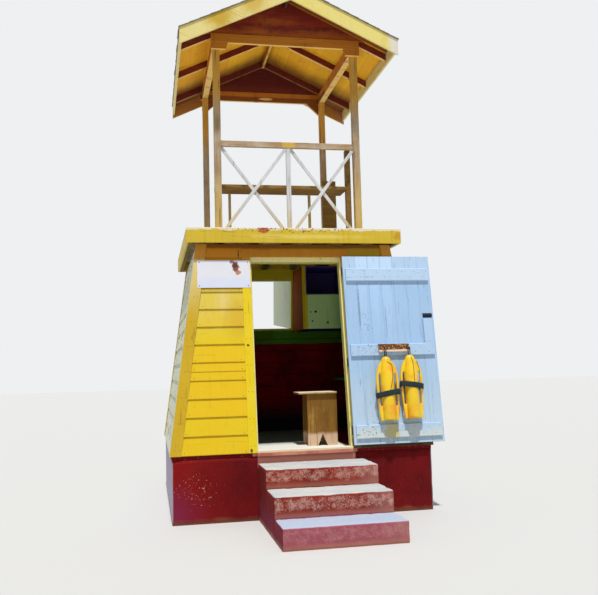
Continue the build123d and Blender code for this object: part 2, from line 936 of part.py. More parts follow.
ledge_face = leaf_face + ledge_thickness
ledge_left = leaf_left + ledge_inset
ledge_right = leaf_right - ledge_inset
with BuildPart() as door_ledges:
    for low, tall in zip(ledge_places, ledge_heights):
        leaning_box(front, (ledge_left, ledge_right), (low, low + tall), (leaf_face, ledge_face))
    leaning_box(
        front,
        (ledge_right - lock_block_width, ledge_right),
        (ledge_places[1], lock_block_top),
        (leaf_face, ledge_face),
    )
    outer = door_ledges.faces().filter_by(lambda face: face.normal_at().dot(front.z_dir) > 0.99)
    top_face = outer.sort_by(Axis(origin=(0, 0, 0), direction=front.z_dir))[-3:]
    chamfer(top_face.edges().filter_by(Axis.X), ledge_chamfer)
save(door_ledges, "door_ledges")

# Barrel bolt above the lock block
with BuildPart() as door_bolt:
    bolt_right = leaf_right - bolt_inset
    bolt_left = bolt_right - bolt_length
    bolt_face = leaf_face + bolt_plate_thickness
    leaning_box(
        front,
        (bolt_left, bolt_right),
        (bolt_height, bolt_height + bolt_plate_height),
        (leaf_face, bolt_face),
    )
    bolt_axis = front.from_local_coords(
        (bolt_left, bolt_height + bolt_plate_height / 2, bolt_face + bolt_clearance + bolt_radius)
    )
    with BuildSketch(Plane(origin=bolt_axis, x_dir=front.y_dir, z_dir=(1, 0, 0))):
        Circle(bolt_radius)
    extrude(amount=bolt_length)
    for keeper in bolt_keeper_places:
        start = bolt_left + keeper * bolt_length
        leaning_box(
            front,
            (start, start + 2 * bolt_radius),
            (bolt_height + bolt_plate_height / 4, bolt_height + bolt_plate_height * 3 / 4),
            (bolt_face, bolt_face + 2 * bolt_radius + 2 * bolt_clearance),
        )
save(door_bolt, "door_bolt")

# Rack on the middle ledge, with a peg above each rescue can
rack_start = leaf_left + rack_left
rack_face = ledge_face + rack_thickness
cans = list(zip(can_centres, can_bottoms, can_tilts))


def can_nose(can):
    """Place of a can's upper end on the front wall: along it, and up its slope."""
    centre, bottom, tilt = can
    return (
        leaf_left + centre + can_length * sin(radians(tilt)),
        bottom + can_length * cos(radians(tilt)),
    )


peg_height = rack_bottom + peg_rise
with BuildPart() as can_rack:
    leaning_box(
        front,
        (rack_start, rack_start + rack_width),
        (rack_bottom, rack_bottom + rack_height),
        (ledge_face, rack_face),
    )
    with BuildSketch(front.offset(rack_face)):
        for can in cans:
            with Locations((can_nose(can)[0], peg_height)):
                Circle(peg_radius)
    extrude(amount=peg_length)
save(can_rack, "can_rack")

# Two rescue cans: bullet-shaped floats with a wing along each side, slotted as a hand grip
nose_start = can_length - can_nose_length
tip_centre = can_length - can_tip_radius
nose_run = Vector(can_radius, tip_centre - nose_start)
nose_turn = atan2(nose_run.X, nose_run.Y) - asin(can_tip_radius / nose_run.length)
tip_start = (can_tip_radius * cos(nose_turn), tip_centre + can_tip_radius * sin(nose_turn))
wing_top = can_length - wing_top_drop
with BuildPart() as can_form:
    with BuildSketch(Plane.XZ):
        with BuildLine():
            Polyline(
                (0, can_length), (0, 0), (can_radius, 0), (can_radius, nose_start), tip_start
            )
            RadiusArc(tip_start, (0, can_length), -can_tip_radius)
        make_face()
    revolve(axis=Axis.Z)
    chamfer(can_form.faces().sort_by(Axis.Z)[0].edges(), can_foot_chamfer)
    with BuildSketch(Plane.XZ.offset(-wing_thickness / 2)):
        with BuildLine():
            Polyline((0, wing_top), (0, 0), (wing_foot_half, 0))
            ThreePointArc(
                (wing_foot_half, 0),
                ((wing_foot_half + wing_half_width) / 2 + wing_bow, wing_widest / 2),
                (wing_half_width, wing_widest),
            )
            EllipticalCenterArc(
                (0, wing_widest), wing_half_width, wing_top - wing_widest, start_angle=0, arc_size=90
            )
        make_face()
        mirror(about=Plane.YZ)
        with GridLocations(2 * can_radius + grip_reach - grip_root, 1, 2, 1):
            with Locations((0, grip_bottom + grip_length / 2)):
                SlotOverall(grip_length, grip_reach + grip_root, rotation=90, mode=Mode.SUBTRACT)
    extrude(amount=wing_thickness)

can_stand = 2 * webbing_gap + webbing_thickness
can_depth_centre = leaf_face + can_stand + can_radius


def can_plane(can, along=0, tilt=0):
    """A plane square to a can's axis, at a place along it, with an extra tilt across the door."""
    centre, bottom, lean_angle = can
    foot = front.from_local_coords((leaf_left + centre, bottom, can_depth_centre))
    axis = front.x_dir * sin(radians(lean_angle)) + front.y_dir * cos(radians(lean_angle))
    turn = radians(lean_angle + tilt)
    return Plane(
        origin=foot + axis * along,
        x_dir=front.x_dir * cos(turn) - front.y_dir * sin(turn),
        z_dir=front.x_dir * sin(turn) + front.y_dir * cos(turn),
    )


with BuildPart() as rescue_cans:
    for can in cans:
        with Locations(can_plane(can)):
            add(can_form.part)
save(rescue_cans, "rescue_cans")

# Webbing: a band round each can and its wings, and a sling that hangs it from its peg
band_half_width = wing_half_width / (1 - (wing_thickness / 2 / can_radius) ** 2) ** 0.5
band_half_depth = can_radius + webbing_gap
sling_inner = peg_radius + webbing_gap
sling_outer = sling_inner + webbing_thickness
with BuildPart() as can_straps:
    for can, place, tilt in zip(cans, band_places, band_tilts):
        band_slant = abs(tan(radians(tilt))) * band_height / 2
        band_inner = band_half_width / cos(radians(tilt)) + band_slant + webbing_gap
        with BuildSketch(can_plane(can, place, tilt).offset(-band_height / 2)):
            Ellipse(band_inner + webbing_thickness, band_half_depth + webbing_thickness)
            Ellipse(band_inner, band_half_depth, mode=Mode.SUBTRACT)
        extrude(amount=band_height)
        nose_place, nose_height = can_nose(can)
        sling_low = nose_height + webbing_gap
        sling_high = peg_height + sling_outer
        with BuildSketch(front.offset(can_depth_centre - sling_width / 2)):
            with Locations((nose_place, (sling_low + sling_high) / 2)):
                SlotOverall(sling_high - sling_low, 2 * sling_outer, rotation=90)
                SlotOverall(
                    sling_high - sling_low - 2 * webbing_thickness,
                    2 * sling_inner,
                    rotation=90,
                    mode=Mode.SUBTRACT,
                )
        extrude(amount=sling_width)
save(can_straps, "can_straps")
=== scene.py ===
"""Looks of the lifeguard tower: paint, boards, shingles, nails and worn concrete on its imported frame.

Everything is in metres in the tower's own frame: X to the right as seen from the steps, Y to the back,
Z up, with the origin under the middle of the plinth.
"""

from __future__ import annotations

import functools
import json
import logging
import math
import random
from dataclasses import dataclass
from enum import Enum
from typing import Any, Iterable, Sequence

import bmesh
import bpy
from mathutils import Matrix, Vector, noise
from mathutils.bvhtree import BVHTree

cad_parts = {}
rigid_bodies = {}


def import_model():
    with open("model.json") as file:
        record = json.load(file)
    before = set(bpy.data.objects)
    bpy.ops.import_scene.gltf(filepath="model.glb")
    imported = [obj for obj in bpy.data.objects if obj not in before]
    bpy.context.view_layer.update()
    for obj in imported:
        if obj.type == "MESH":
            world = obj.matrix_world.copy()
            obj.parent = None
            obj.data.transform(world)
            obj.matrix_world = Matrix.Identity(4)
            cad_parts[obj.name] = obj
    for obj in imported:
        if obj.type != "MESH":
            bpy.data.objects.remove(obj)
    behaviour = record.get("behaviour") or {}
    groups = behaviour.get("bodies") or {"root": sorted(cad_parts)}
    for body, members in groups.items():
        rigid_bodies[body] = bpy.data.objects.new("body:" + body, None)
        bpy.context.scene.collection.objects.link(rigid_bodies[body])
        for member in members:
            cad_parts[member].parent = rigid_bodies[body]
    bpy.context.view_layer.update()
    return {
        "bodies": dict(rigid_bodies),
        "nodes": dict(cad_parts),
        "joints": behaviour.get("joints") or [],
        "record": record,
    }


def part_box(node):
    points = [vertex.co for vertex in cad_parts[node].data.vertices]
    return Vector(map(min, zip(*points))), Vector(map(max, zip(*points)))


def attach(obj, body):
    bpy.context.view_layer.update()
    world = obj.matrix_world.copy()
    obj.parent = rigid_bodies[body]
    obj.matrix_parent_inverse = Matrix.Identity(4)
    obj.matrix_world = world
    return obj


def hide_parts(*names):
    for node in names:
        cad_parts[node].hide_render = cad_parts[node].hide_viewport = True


LOG = logging.getLogger("tower")
# Red, green and blue as seen on a screen, from 0 to 255.
Colour = tuple[int, int, int]
Span = tuple[float, float]

# Boards are eased along edges where their faces turn by more than this, in radians.
SHARP_EDGE = 0.6
# Nodes of the frame are welded over gaps up to this, and eased along edges that turn by more than the angle.
WELD_GAP = 0.00005
EASED_ANGLE = math.radians(35)


class Body(Enum):
    """The moving bodies that pieces ride on."""

    TOWER = "tower"
    DOOR = "door"


class Axis(Enum):
    """An axis of the tower's frame."""

    X = 0
    Y = 1
    Z = 2


class Grain(Enum):
    """Which way the fibres of a timber run, as stretches of its pattern along X, Y and Z."""

    ALONG_X = (0.05, 1.0, 1.0)
    ALONG_Y = (1.0, 0.05, 1.0)
    ALONG_Z = (1.0, 1.0, 0.05)


def shade(red: int, green: int, blue: int) -> tuple[float, ...]:
    """Turns a colour as seen on a screen into the linear values that shaders use."""
    return tuple(
        part / 255 / 12.92 if part <= 10 else ((part / 255 + 0.055) / 1.055) ** 2.4
        for part in (red, green, blue)
    )


class Wire:
    """A shader socket that adds Math nodes as it is used in an expression."""

    def __init__(self, graph: "Tree", socket: bpy.types.NodeSocket) -> None:
        """Keeps the socket and the tree that it belongs to."""
        self.graph = graph
        self.socket = socket

    def __add__(self, other: Any) -> "Wire":
        """The sum."""
        return self.graph.maths("ADD", self, other)

    def __radd__(self, other: Any) -> "Wire":
        """The sum, with a number on the left."""
        return self.graph.maths("ADD", other, self)

    def __sub__(self, other: Any) -> "Wire":
        """The difference."""
        return self.graph.maths("SUBTRACT", self, other)

    def __rsub__(self, other: Any) -> "Wire":
        """The difference, with a number on the left."""
        return self.graph.maths("SUBTRACT", other, self)

    def __mul__(self, other: Any) -> "Wire":
        """The product."""
        return self.graph.maths("MULTIPLY", self, other)

    def __rmul__(self, other: Any) -> "Wire":
        """The product, with a number on the left."""
        return self.graph.maths("MULTIPLY", other, self)

    def __truediv__(self, other: Any) -> "Wire":
        """The quotient."""
        return self.graph.maths("DIVIDE", self, other)

    def __rtruediv__(self, other: Any) -> "Wire":
        """The quotient, with a number on the left."""
        return self.graph.maths("DIVIDE", other, self)

    def rise(self, low: float, high: float) -> "Wire":
        """Goes smoothly from 0 at low to 1 at high."""
        return self.graph.node(
            "ShaderNodeMapRange",
            {"interpolation_type": "SMOOTHSTEP"},
            {"Value": self, "From Min": low, "From Max": high},
        )

    def fall(self, low: float, high: float) -> "Wire":
        """Goes smoothly from 1 at low to 0 at high."""
        return 1 - self.rise(low, high)

    def part(self) -> "Wire":
        """What is left of the value after its whole number."""
        return self.graph.maths("FRACT", self, 0)


class Tree:
    """A node tree with short ways to add to it."""

    def __init__(self, tree: bpy.types.NodeTree) -> None:
        """Keeps the tree and empties it."""
        self.tree = tree
        tree.nodes.clear()

    def node(
        self,
        kind: str,
        settings: dict[str, Any] | None = None,
        values: dict[str | int, Any] | None = None,
        out: str | int | None = 0,
    ) -> Wire | None:
        """Adds a node.

        Args:
            kind: The node's type.
            settings: Its own settings, such as a Math node's operation.
            values: Numbers, colours or wires for its sockets, by name or place.
            out: Which output is wanted, or None for a node that has none.

        Returns:
            A wire from that output.
        """
        made = self.tree.nodes.new(kind)
        for key, value in (settings or {}).items():
            setattr(made, key, value)
        for key, value in (values or {}).items():
            socket = made.inputs[key]
            if isinstance(value, Wire):
                self.tree.links.new(value.socket, socket)
            elif isinstance(value, tuple) and len(socket.default_value) == 4:
                socket.default_value = (*shade(*value), 1)
            else:
                socket.default_value = value
        return None if out is None else Wire(self, made.outputs[out])

    def maths(self, operation: str, first: Any, second: Any) -> Wire:
        """Adds one Math node."""
        return self.node("ShaderNodeMath", {"operation": operation}, {0: first, 1: second})

    def vector(self, operation: str, first: Any, second: Any) -> Wire:
        """Adds one Vector Math node that gives a vector."""
        return self.node("ShaderNodeVectorMath", {"operation": operation}, {0: first, 1: second})


class Graph(Tree):
    """The node tree of a material."""

    def __init__(self, name: str) -> None:
        """Makes an empty material of that name."""
        self.material = bpy.data.materials.new(name)
        self.material.use_nodes = True
        super().__init__(self.material.node_tree)

    def mix(self, share: Any, first: Any, second: Any) -> Wire:
        """Blends two colours by a share."""
        return self.node("ShaderNodeMix", {"data_type": "RGBA"}, {0: share, 6: first, 7: second}, out=2)

    @functools.cached_property
    def place(self) -> Wire:
        """Where a point lies on the piece, in metres."""
        return self.node("ShaderNodeTexCoord", out="Object")

    def axes(self, vector: Wire | None = None) -> tuple[Wire, ...]:
        """The three parts of a vector, the place on the piece where none is given."""
        split = self.node("ShaderNodeSeparateXYZ", values={0: vector or self.place})
        return tuple(Wire(self, output) for output in split.socket.node.outputs)

    def facing(self, axis: Axis) -> Wire:
        """How far a face looks along an axis, from -1 to 1."""
        return self.axes(self.node("ShaderNodeTexCoord", out="Normal"))[axis.value]

    def stretched(self, by: Sequence[float], turn: float = 0.0, move: float = 0.0) -> Wire:
        """The place on the piece, turned about Y, moved and stretched, for a pattern to follow."""
        place = self.place
        if turn:
            turned = {"Vector": place, "Angle": turn}
            place = self.node("ShaderNodeVectorRotate", {"rotation_type": "Y_AXIS"}, turned)
        if move:
            place = self.vector("ADD", place, (move, move, move))
        return self.vector("MULTIPLY", place, tuple(by))

    def noise(
        self, vector: Wire, scale: float, detail: float = 4.0, roughness: float = 0.55, twist: float = 0.0
    ) -> Wire:
        """A soft noise between 0 and 1."""
        values = {"Vector": vector, "Scale": scale, "Detail": detail}
        return self.node("ShaderNodeTexNoise", values=values | {"Roughness": roughness, "Distortion": twist})

    def cells(self, scale: float) -> Wire:
        """Distance on the piece to the nearest of many scattered points."""
        values = {"Vector": self.place, "Scale": scale}
        return self.node("ShaderNodeTexVoronoi", values=values, out="Distance")

    def distance(self, centre: tuple[float, float, float], squash: tuple[float, float, float]) -> Wire:
        """How far a point lies from a centre, in metres, with each axis stretched by squash."""
        away = self.vector("MULTIPLY", self.vector("SUBTRACT", self.place, centre), squash)
        return self.node("ShaderNodeVectorMath", {"operation": "LENGTH"}, {0: away}, out="Value")

    def attribute(self, name: str) -> Wire:
        """A number stored on the piece's mesh."""
        return self.node("ShaderNodeAttribute", {"attribute_name": name}, out="Fac")

    def bump(self, height: Wire, depth: float, strength: float, under: Wire | None = None) -> Wire:
        """A normal that is pushed by a height, with depth in metres."""
        values: dict[str | int, Any] = {"Height": height, "Distance": depth, "Strength": strength}
        if under is not None:
            values["Normal"] = under
        return self.node("ShaderNodeBump", values=values)

    def surface(self, **values: Any) -> bpy.types.Material:
        """Closes the material with a Principled shader.

        Args:
            values: Its sockets, with underscores for the blanks in their names.

        Returns:
            The finished material.
        """
        named = {key.replace("_", " "): value for key, value in values.items()}
        shader = self.node("ShaderNodeBsdfPrincipled", values=named)
        self.node("ShaderNodeOutputMaterial", values={"Surface": shader}, out=None)
        return self.material


@dataclass(frozen=True)
class Reach:
    """A colour that comes in along an axis, between start and full, with a ragged edge."""

    colour: Colour
    axis: Axis
    start: float
    full: float
    share: float = 1.0
    ragged: float = 0.0

    def mask(self, graph: Graph) -> Wire:
        """Where the colour shows, from 0 to 1."""
        place = graph.axes()[self.axis.value]
        if self.ragged:
            place = place + (graph.noise(graph.place, 5, 6, 0.65) - 0.5) * self.ragged
        low, high = sorted((self.start, self.full))
        shown = place.rise(low, high) if self.start < self.full else place.fall(low, high)
        return shown * self.share


@dataclass(frozen=True)
class Blot:
    """A ragged patch of colour round a point: stains, flakes, and in some finishes painted sheen, highlight,
    shade and reflection.
    """

    colour: Colour
    centre: tuple[float, float, float]
    radius: float
    share: float = 1.0
    ragged: float = 0.9
    grit: float = 18.0
    squash: tuple[float, float, float] = (1.0, 1.0, 1.0)
    soft: float = 0.28

    def mask(self, graph: Graph) -> Wire:
        """Where the patch shows, from 0 to 1."""
        far = graph.distance(self.centre, self.squash) / self.radius
        far = far + (graph.noise(graph.place, self.grit, 6, 0.65) - 0.5) * self.ragged
        return far.fall(1.0 - self.soft, 1.0) * self.share


@dataclass(frozen=True)
class Flecks:
    """Small flecks of colour that thin out away from a point."""

    colour: Colour
    centre: tuple[float, float, float]
    radius: float
    scale: float = 60.0
    amount: float = 0.5
    share: float = 0.9
    squash: tuple[float, float, float] = (1.0, 1.0, 1.0)

    def mask(self, graph: Graph) -> Wire:
        """Where the flecks show, from 0 to 1."""
        near = (graph.distance(self.centre, self.squash) / self.radius).fall(0.2, 1.0)
        dots = graph.noise(graph.place, self.scale, 4, 0.6)
        edge = 0.78 - self.amount * 0.2
        return (dots * (near * 0.25 + 0.85)).rise(edge, edge + 0.03) * near.rise(0.0, 0.3) * self.share


@dataclass(frozen=True)
class Facing:
    """A colour on the faces that look along an axis, one way or the other."""

    colour: Colour
    axis: Axis
    share: float = 1.0
    way: float = 1.0
    low: float = 0.5
    high: float = 0.8

    def mask(self, graph: Graph) -> Wire:
        """Where the colour shows, from 0 to 1."""
        return (graph.facing(self.axis) * self.way).rise(self.low, self.high) * self.share


@dataclass(frozen=True)
class Both:
    """A colour where two other touches overlap."""

    first: "Touch"
    second: "Touch"

    @property
    def colour(self) -> Colour:
        """The first touch's colour."""
        return self.first.colour

    def mask(self, graph: Graph) -> Wire:
        """Where the colour shows, from 0 to 1."""
        return self.first.mask(graph) * self.second.mask(graph)


Touch = Reach | Blot | Flecks | Facing | Both


def touched(graph: Graph, colour: Any, touches: Iterable[Touch]) -> Any:
    """Lays local colours over a finish, the last one on top."""
    for touch in touches:
        colour = graph.mix(touch.mask(graph), colour, touch.colour)
    return colour


@dataclass(frozen=True)
class Timber:
    """Bare timber that sun and salt have worked on."""

    name: str
    dark: Colour
    light: Colour
    faded: Colour
    grain: Grain
    fading: float = 0.35
    stain: Colour = (70, 30, 12)
    staining: float = 0.25
    roughness: float = 0.78
    cracking: float = 0.55
    touches: tuple[Touch, ...] = ()

    def build(self) -> bpy.types.Material:
        """Makes the material."""
        graph = Graph(self.name)
        grain = self.grain.value
        fibres = graph.noise(graph.stretched(grain), 70, 6, 0.65, 0.3)
        bands = graph.noise(graph.stretched(grain, move=3.1), 16, 4, 0.6, 0.8)
        blotches = graph.noise(graph.place, 3.2, 5, 0.6)
        board = graph.attribute("board")
        tone = (fibres * 0.35 + bands * 0.45 + board * 0.25).rise(0.28, 0.78)
        colour = graph.mix(tone, self.dark, self.light)
        faded = (blotches * 0.7 + fibres * 0.35).rise(0.62 - self.fading * 0.45, 0.80)
        colour = touched(graph, graph.mix(faded * 0.8, colour, self.faded), self.touches)
        stained = graph.noise(graph.stretched((5, 5, 1.6), move=7.7), 1.3, 6, 0.65).rise(0.52, 0.72)
        colour = graph.mix(stained * self.staining, colour, self.stain)
        cracks = graph.noise(graph.stretched(grain, move=9.2), 42, 3, 0.5, 0.5).rise(0.62, 0.70)
        colour = graph.mix(cracks * self.cracking, colour, self.stain)
        normal = graph.bump(fibres - cracks * 0.8, 0.0016, 0.7)
        return graph.surface(
            Base_Color=colour, Roughness=self.roughness + fibres * 0.14, Normal=normal
        )


@dataclass(frozen=True)
class Paint:
    """Paint on boards, soiled and streaked, with painted shade along the board laps where a lap is given, and
    places where it has peeled.
    """

    name: str
    coat: Colour
    second: Colour
    under: Colour
    wood: Colour
    grain: Grain
    peeling: float = 0.3
    # Colour of soiling, and of the painted shade along the laps.
    grime_and_lap_shade: Colour = (95, 62, 20)
    griming: float = 0.35
    turn: float = 0.0
    lap: float = 0.0
    lap_start: float = 0.0
    roughness: float = 0.52
    gloss: float = 0.3
    cracking: float = 0.4
    low_wear: tuple[float, float, float] = (0.0, 0.0, 0.0)
    touches: tuple[Touch, ...] = ()
    marks: tuple[Touch, ...] = ()

    def build(self) -> bpy.types.Material:
        """Makes the material."""
        graph = Graph(self.name)
        fibres = graph.noise(graph.stretched(self.grain.value, self.turn), 62, 6, 0.65, 0.25)
        blotches = graph.noise(graph.place, 2.6, 5, 0.62)
        mottles = graph.noise(graph.place, 19, 4, 0.6)
        board = graph.attribute("board")
        colour = graph.mix(
            (blotches * 0.7 + mottles * 0.25 + board * 0.35).rise(0.42, 0.86), self.coat, self.second
        )
        colour = touched(graph, colour, self.touches)
        height = graph.axes()[2]
        streaks = graph.noise(graph.stretched((24, 24, 1.3)), 1.0, 5, 0.6).rise(0.50, 0.80)
        dirt_and_lap_shade = (streaks * 0.55 + mottles.rise(0.55, 0.85) * 0.45) * self.griming
        # Painted shade along each lap: darker at the foot of each course and just under the board above it.
        if self.lap:
            course = ((height - self.lap_start) / self.lap).part()
            dirt_and_lap_shade = dirt_and_lap_shade + (course.fall(0.0, 0.09) + course.rise(0.955, 1.0) * 1.2) * 0.42 * (mottles + 0.3)
        colour = graph.mix(dirt_and_lap_shade, colour, self.grime_and_lap_shade)
        patchy = [0.25 + 0.75 * part for part in self.grain.value]
        flakes = graph.noise(graph.stretched(patchy, self.turn, 4.4), 9.5, 7, 0.68)
        wear = flakes * 0.72 + fibres * 0.28 + board * 0.05
        if self.low_wear[2]:
            low, high, amount = self.low_wear
            wear = wear + height.fall(low, high) * amount
        edge = 0.74 - self.peeling * 0.26
        rim = wear.rise(edge - 0.035, edge - 0.005)
        bare = wear.rise(edge, edge + 0.02)
        colour = graph.mix(rim, colour, self.under)
        colour = graph.mix(bare, colour, graph.mix(fibres.rise(0.3, 0.7), self.wood, self.under))
        cracks = graph.noise(graph.stretched(self.grain.value, self.turn, 12.0), 34, 3, 0.5, 0.7)
        cracks = cracks.rise(0.655, 0.69) * self.cracking
        colour = touched(graph, graph.mix(cracks, colour, self.grime_and_lap_shade), self.marks)
        relief = graph.bump(fibres * 0.35 - bare * 0.5 - cracks, 0.0014, 0.75)
        normal = graph.bump(mottles, 0.0009, 0.4, relief)
        return graph.surface(
            Base_Color=colour,
            Roughness=self.roughness + bare * 0.28 + dirt_and_lap_shade * 0.3,
            Specular_IOR_Level=self.gloss,
            Normal=normal,
        )


@dataclass(frozen=True)
class Masonry:
    """Painted render or concrete: one colour on upright faces, another on level ones, both worn."""

    name: str
    upright: Colour
    upright_second: Colour
    level: Colour
    level_second: Colour
    bare: Colour
    flaking: float = 0.4
    foot: Colour | None = None
    foot_height: float = 0.1
    streaks: float = 0.4
    patches: float = 0.0
    rise: float = 0.192
    scuffed: Colour = (176, 118, 100)
    touches: tuple[Touch, ...] = ()

    def build(self) -> bpy.types.Material:
        """Makes the material."""
        graph = Graph(self.name)
        height = graph.axes()[2]
        blotches = graph.noise(graph.place, 3.4, 6, 0.62)
        grit = graph.noise(graph.place, 95, 4, 0.7)
        lumps = graph.noise(graph.place, 17, 5, 0.62)
        runs = graph.noise(graph.stretched((16, 16, 1.8)), 1.0, 5, 0.6)
        cloud = blotches * (1 - self.streaks) + runs * self.streaks
        wall = graph.mix(cloud.rise(0.40, 0.68), self.upright, self.upright_second)
        brushed = graph.noise(graph.stretched((1.8, 6, 6)), 1.0, 6, 0.7)
        tread = graph.mix((brushed * 0.6 + lumps * 0.4).rise(0.38, 0.68), self.level, self.level_second)
        colour = touched(graph, graph.mix(graph.facing(Axis.Z).rise(0.45, 0.8), wall, tread), self.touches)
        flakes = graph.noise(graph.stretched((1, 1, 1), 0.0, 2.2), 23, 7, 0.7)
        edge = 0.72 - self.flaking * 0.22
        flaked = (flakes * 0.8 + grit * 0.2).rise(edge, edge + 0.03)
        colour = graph.mix(flaked * 0.85, colour, self.bare)
        if self.patches:
            crumbs = graph.noise(graph.stretched((0.75, 1, 1.3), 0.0, 6.1), 110, 5, 0.8)
            share = (height / self.rise - 0.02).part()
            flecked = crumbs * 0.55 + lumps * 0.33 + share.rise(0.1, 0.45) * share.fall(0.75, 1.0) * 0.12
            flecked = flecked.rise(0.60 - self.patches * 0.12, 0.67 - self.patches * 0.12)
            upper = height.rise(0.20, 0.26) * 0.6 + 0.4
            frontal = (graph.facing(Axis.Y) * -1).rise(0.5, 0.8)
            colour = graph.mix(share.fall(0.05, 0.35) * frontal * 0.5, colour, self.scuffed)
            colour = graph.mix(flecked * frontal * upper * 0.62, colour, self.bare)
        specks = graph.cells(60).fall(0.10, 0.20)
        colour = graph.mix(specks * lumps.rise(0.45, 0.6) * 0.6, colour, self.bare)
        if self.foot is not None:
            sandy = (height + (blotches - 0.5) * self.foot_height * 1.6).fall(0.0, self.foot_height)
            colour = graph.mix(sandy * 0.85, colour, self.foot)
        normal = graph.bump(grit * 0.4 + lumps * 0.6 - flaked * 0.3, 0.004, 0.8)
        return graph.surface(
            Base_Color=colour, Roughness=0.80 + grit * 0.15, Specular_IOR_Level=0.2, Normal=normal
        )


@dataclass(frozen=True)
class Metal:
    """Steel with rust, either bare and dark or under a worn white coat."""

    name: str
    coat: Colour
    rust: Colour
    rusting: float
    metallic: float = 0.0
    touches: tuple[Touch, ...] = ()

    def build(self) -> bpy.types.Material:
        """Makes the material."""
        graph = Graph(self.name)
        speckle = graph.noise(graph.place, 55, 6, 0.7)
        cloud = graph.noise(graph.place, 6.5, 5, 0.65)
        amount = (cloud * 0.6 + speckle * 0.4).rise(0.72 - self.rusting * 0.4, 0.85 - self.rusting * 0.3)
        colour = graph.mix(amount, self.coat, graph.mix(speckle.rise(0.4, 0.6), self.rust, (60, 24, 12)))
        faint = graph.mix(cloud.rise(0.45, 0.75) * self.rusting, colour, self.rust)
        return graph.surface(
            Base_Color=touched(graph, faint, self.touches),
            Metallic=self.metallic,
            Roughness=0.42 + speckle * 0.35,
            Normal=graph.bump(speckle, 0.0008, 0.6),
        )


@dataclass(frozen=True)
class Moulded:
    """Moulded plastic that has faded and been scuffed."""

    name: str
    fresh: Colour
    deep: Colour
    scuff: Colour

    def build(self) -> bpy.types.Material:
        """Makes the material."""
        graph = Graph(self.name)
        cloud = graph.noise(graph.place, 7.0, 4, 0.6)
        fine = graph.noise(graph.place, 160, 3, 0.6)
        lines = graph.noise(graph.stretched((50, 50, 6)), 1.6, 6, 0.7)
        colour = graph.mix(cloud.rise(0.42, 0.72), self.fresh, self.deep)
        scuffed = (lines * 0.6 + cloud * 0.4).rise(0.60, 0.70)
        colour = graph.mix(scuffed * 0.45, colour, self.scuff)
        return graph.surface(
            Base_Color=colour,
            Roughness=0.30 + scuffed * 0.3 + fine * 0.08,
            Coat_Weight=0.25,
            Normal=graph.bump(fine, 0.0003, 0.5),
        )


@dataclass(frozen=True)
class Webbing:
    """Woven strap, dark and salt stained."""

    name: str
    dark: Colour
    light: Colour

    def build(self) -> bpy.types.Material:
        """Makes the material."""
        graph = Graph(self.name)
        weave = graph.node(
            "ShaderNodeTexWave",
            {"bands_direction": "DIAGONAL"},
            {"Vector": graph.place, "Scale": 190.0, "Distortion": 1.5, "Detail": 2.0},
        )
        rows = graph.node(
            "ShaderNodeTexWave",
            {"bands_direction": "Z"},
            {"Vector": graph.place, "Scale": 120.0, "Distortion": 0.6},
        )
        salt = graph.noise(graph.place, 21, 5, 0.6).rise(0.5, 0.8)
        colour = graph.mix(weave * 0.5 + salt * 0.4, self.dark, self.light)
        return graph.surface(
            Base_Color=colour, Roughness=0.85, Normal=graph.bump(weave + rows, 0.0012, 0.8)
        )


@dataclass(frozen=True)
class Room:
    """Inside paint of the cabin: one colour above a line and another below it, with painted shade near the
    floor.
    """

    name: str
    upper: Colour
    lower: Colour
    line: float
    grain: Grain
    board: float = 0.16

    def build(self) -> bpy.types.Material:
        """Makes the material."""
        graph = Graph(self.name)
        height = graph.axes()[2]
        fibres = graph.noise(graph.stretched(self.grain.value), 50, 6, 0.65, 0.3)
        blotches = graph.noise(graph.place, 3.0, 5, 0.6)
        upper = graph.mix(blotches.rise(0.35, 0.7), self.upper, (84, 120, 24))
        upper = graph.mix(height.rise(2.56, 2.70), upper, (226, 210, 44))
        lower = graph.mix(blotches.rise(0.35, 0.7), self.lower, (104, 10, 20))
        # Painted shade: near-black low on the inside walls, near the floor.
        lower = graph.mix(height.fall(0.75, 1.15), lower, (26, 40, 38))
        colour = graph.mix((height + (fibres - 0.5) * 0.03).rise(self.line, self.line + 0.01), lower, upper)
        groove = (height / self.board).part()
        seam = groove.fall(0.0, 0.05) + groove.rise(0.95, 1.0)
        colour = graph.mix(seam * 0.6, colour, (30, 14, 8))
        normal = graph.bump(fibres * 0.3 - seam, 0.003, 0.8)
        return graph.surface(
            Base_Color=colour, Roughness=0.82 + fibres * 0.1, Specular_IOR_Level=0.1, Normal=normal
        )


YELLOW = (220, 194, 22)
BARE_WOOD = (150, 112, 62)
PALE_PRIMER = (236, 226, 190)
DOOR_BLUE = (162, 194, 228)
DARK_STAIN_AND_SHADE = (62, 30, 12)
MAROON = (86, 12, 8)
RUST = (120, 44, 20)
FLAKED_PINK = (214, 172, 156)
PLINTH_RED = (112, 8, 12)
STEP_RED = (140, 44, 32)
ROOM_GREEN = (84, 150, 36)
ROOM_RED = (150, 18, 28)

# The finishes' own measures of the tower.
BOARD_EXPOSURE = 0.187
LEAN_COSINE = 0.9903
FLOOR_LEVEL = 0.672
DOORWAY_HALF = 0.532
ROOM_LINE = 1.85
ROOF_PITCH = math.radians(25)

# Where a Both shows its first touch. Their own colour is not used.
TO_FRONT = Facing(MAROON, Axis.Y, 1.0, -1.0)
TO_LEFT = Facing(MAROON, Axis.X, 1.0, -1.0)
TO_TOP = Facing(MAROON, Axis.Z)
ON_RIGHT = Reach(MAROON, Axis.X, 0.0, 0.1)
IN_FRONT = Reach(MAROON, Axis.Y, 0.0, -0.1)
LEFT_OF_STEPS_END = Reach(MAROON, Axis.X, DOORWAY_HALF, DOORWAY_HALF - 0.01)

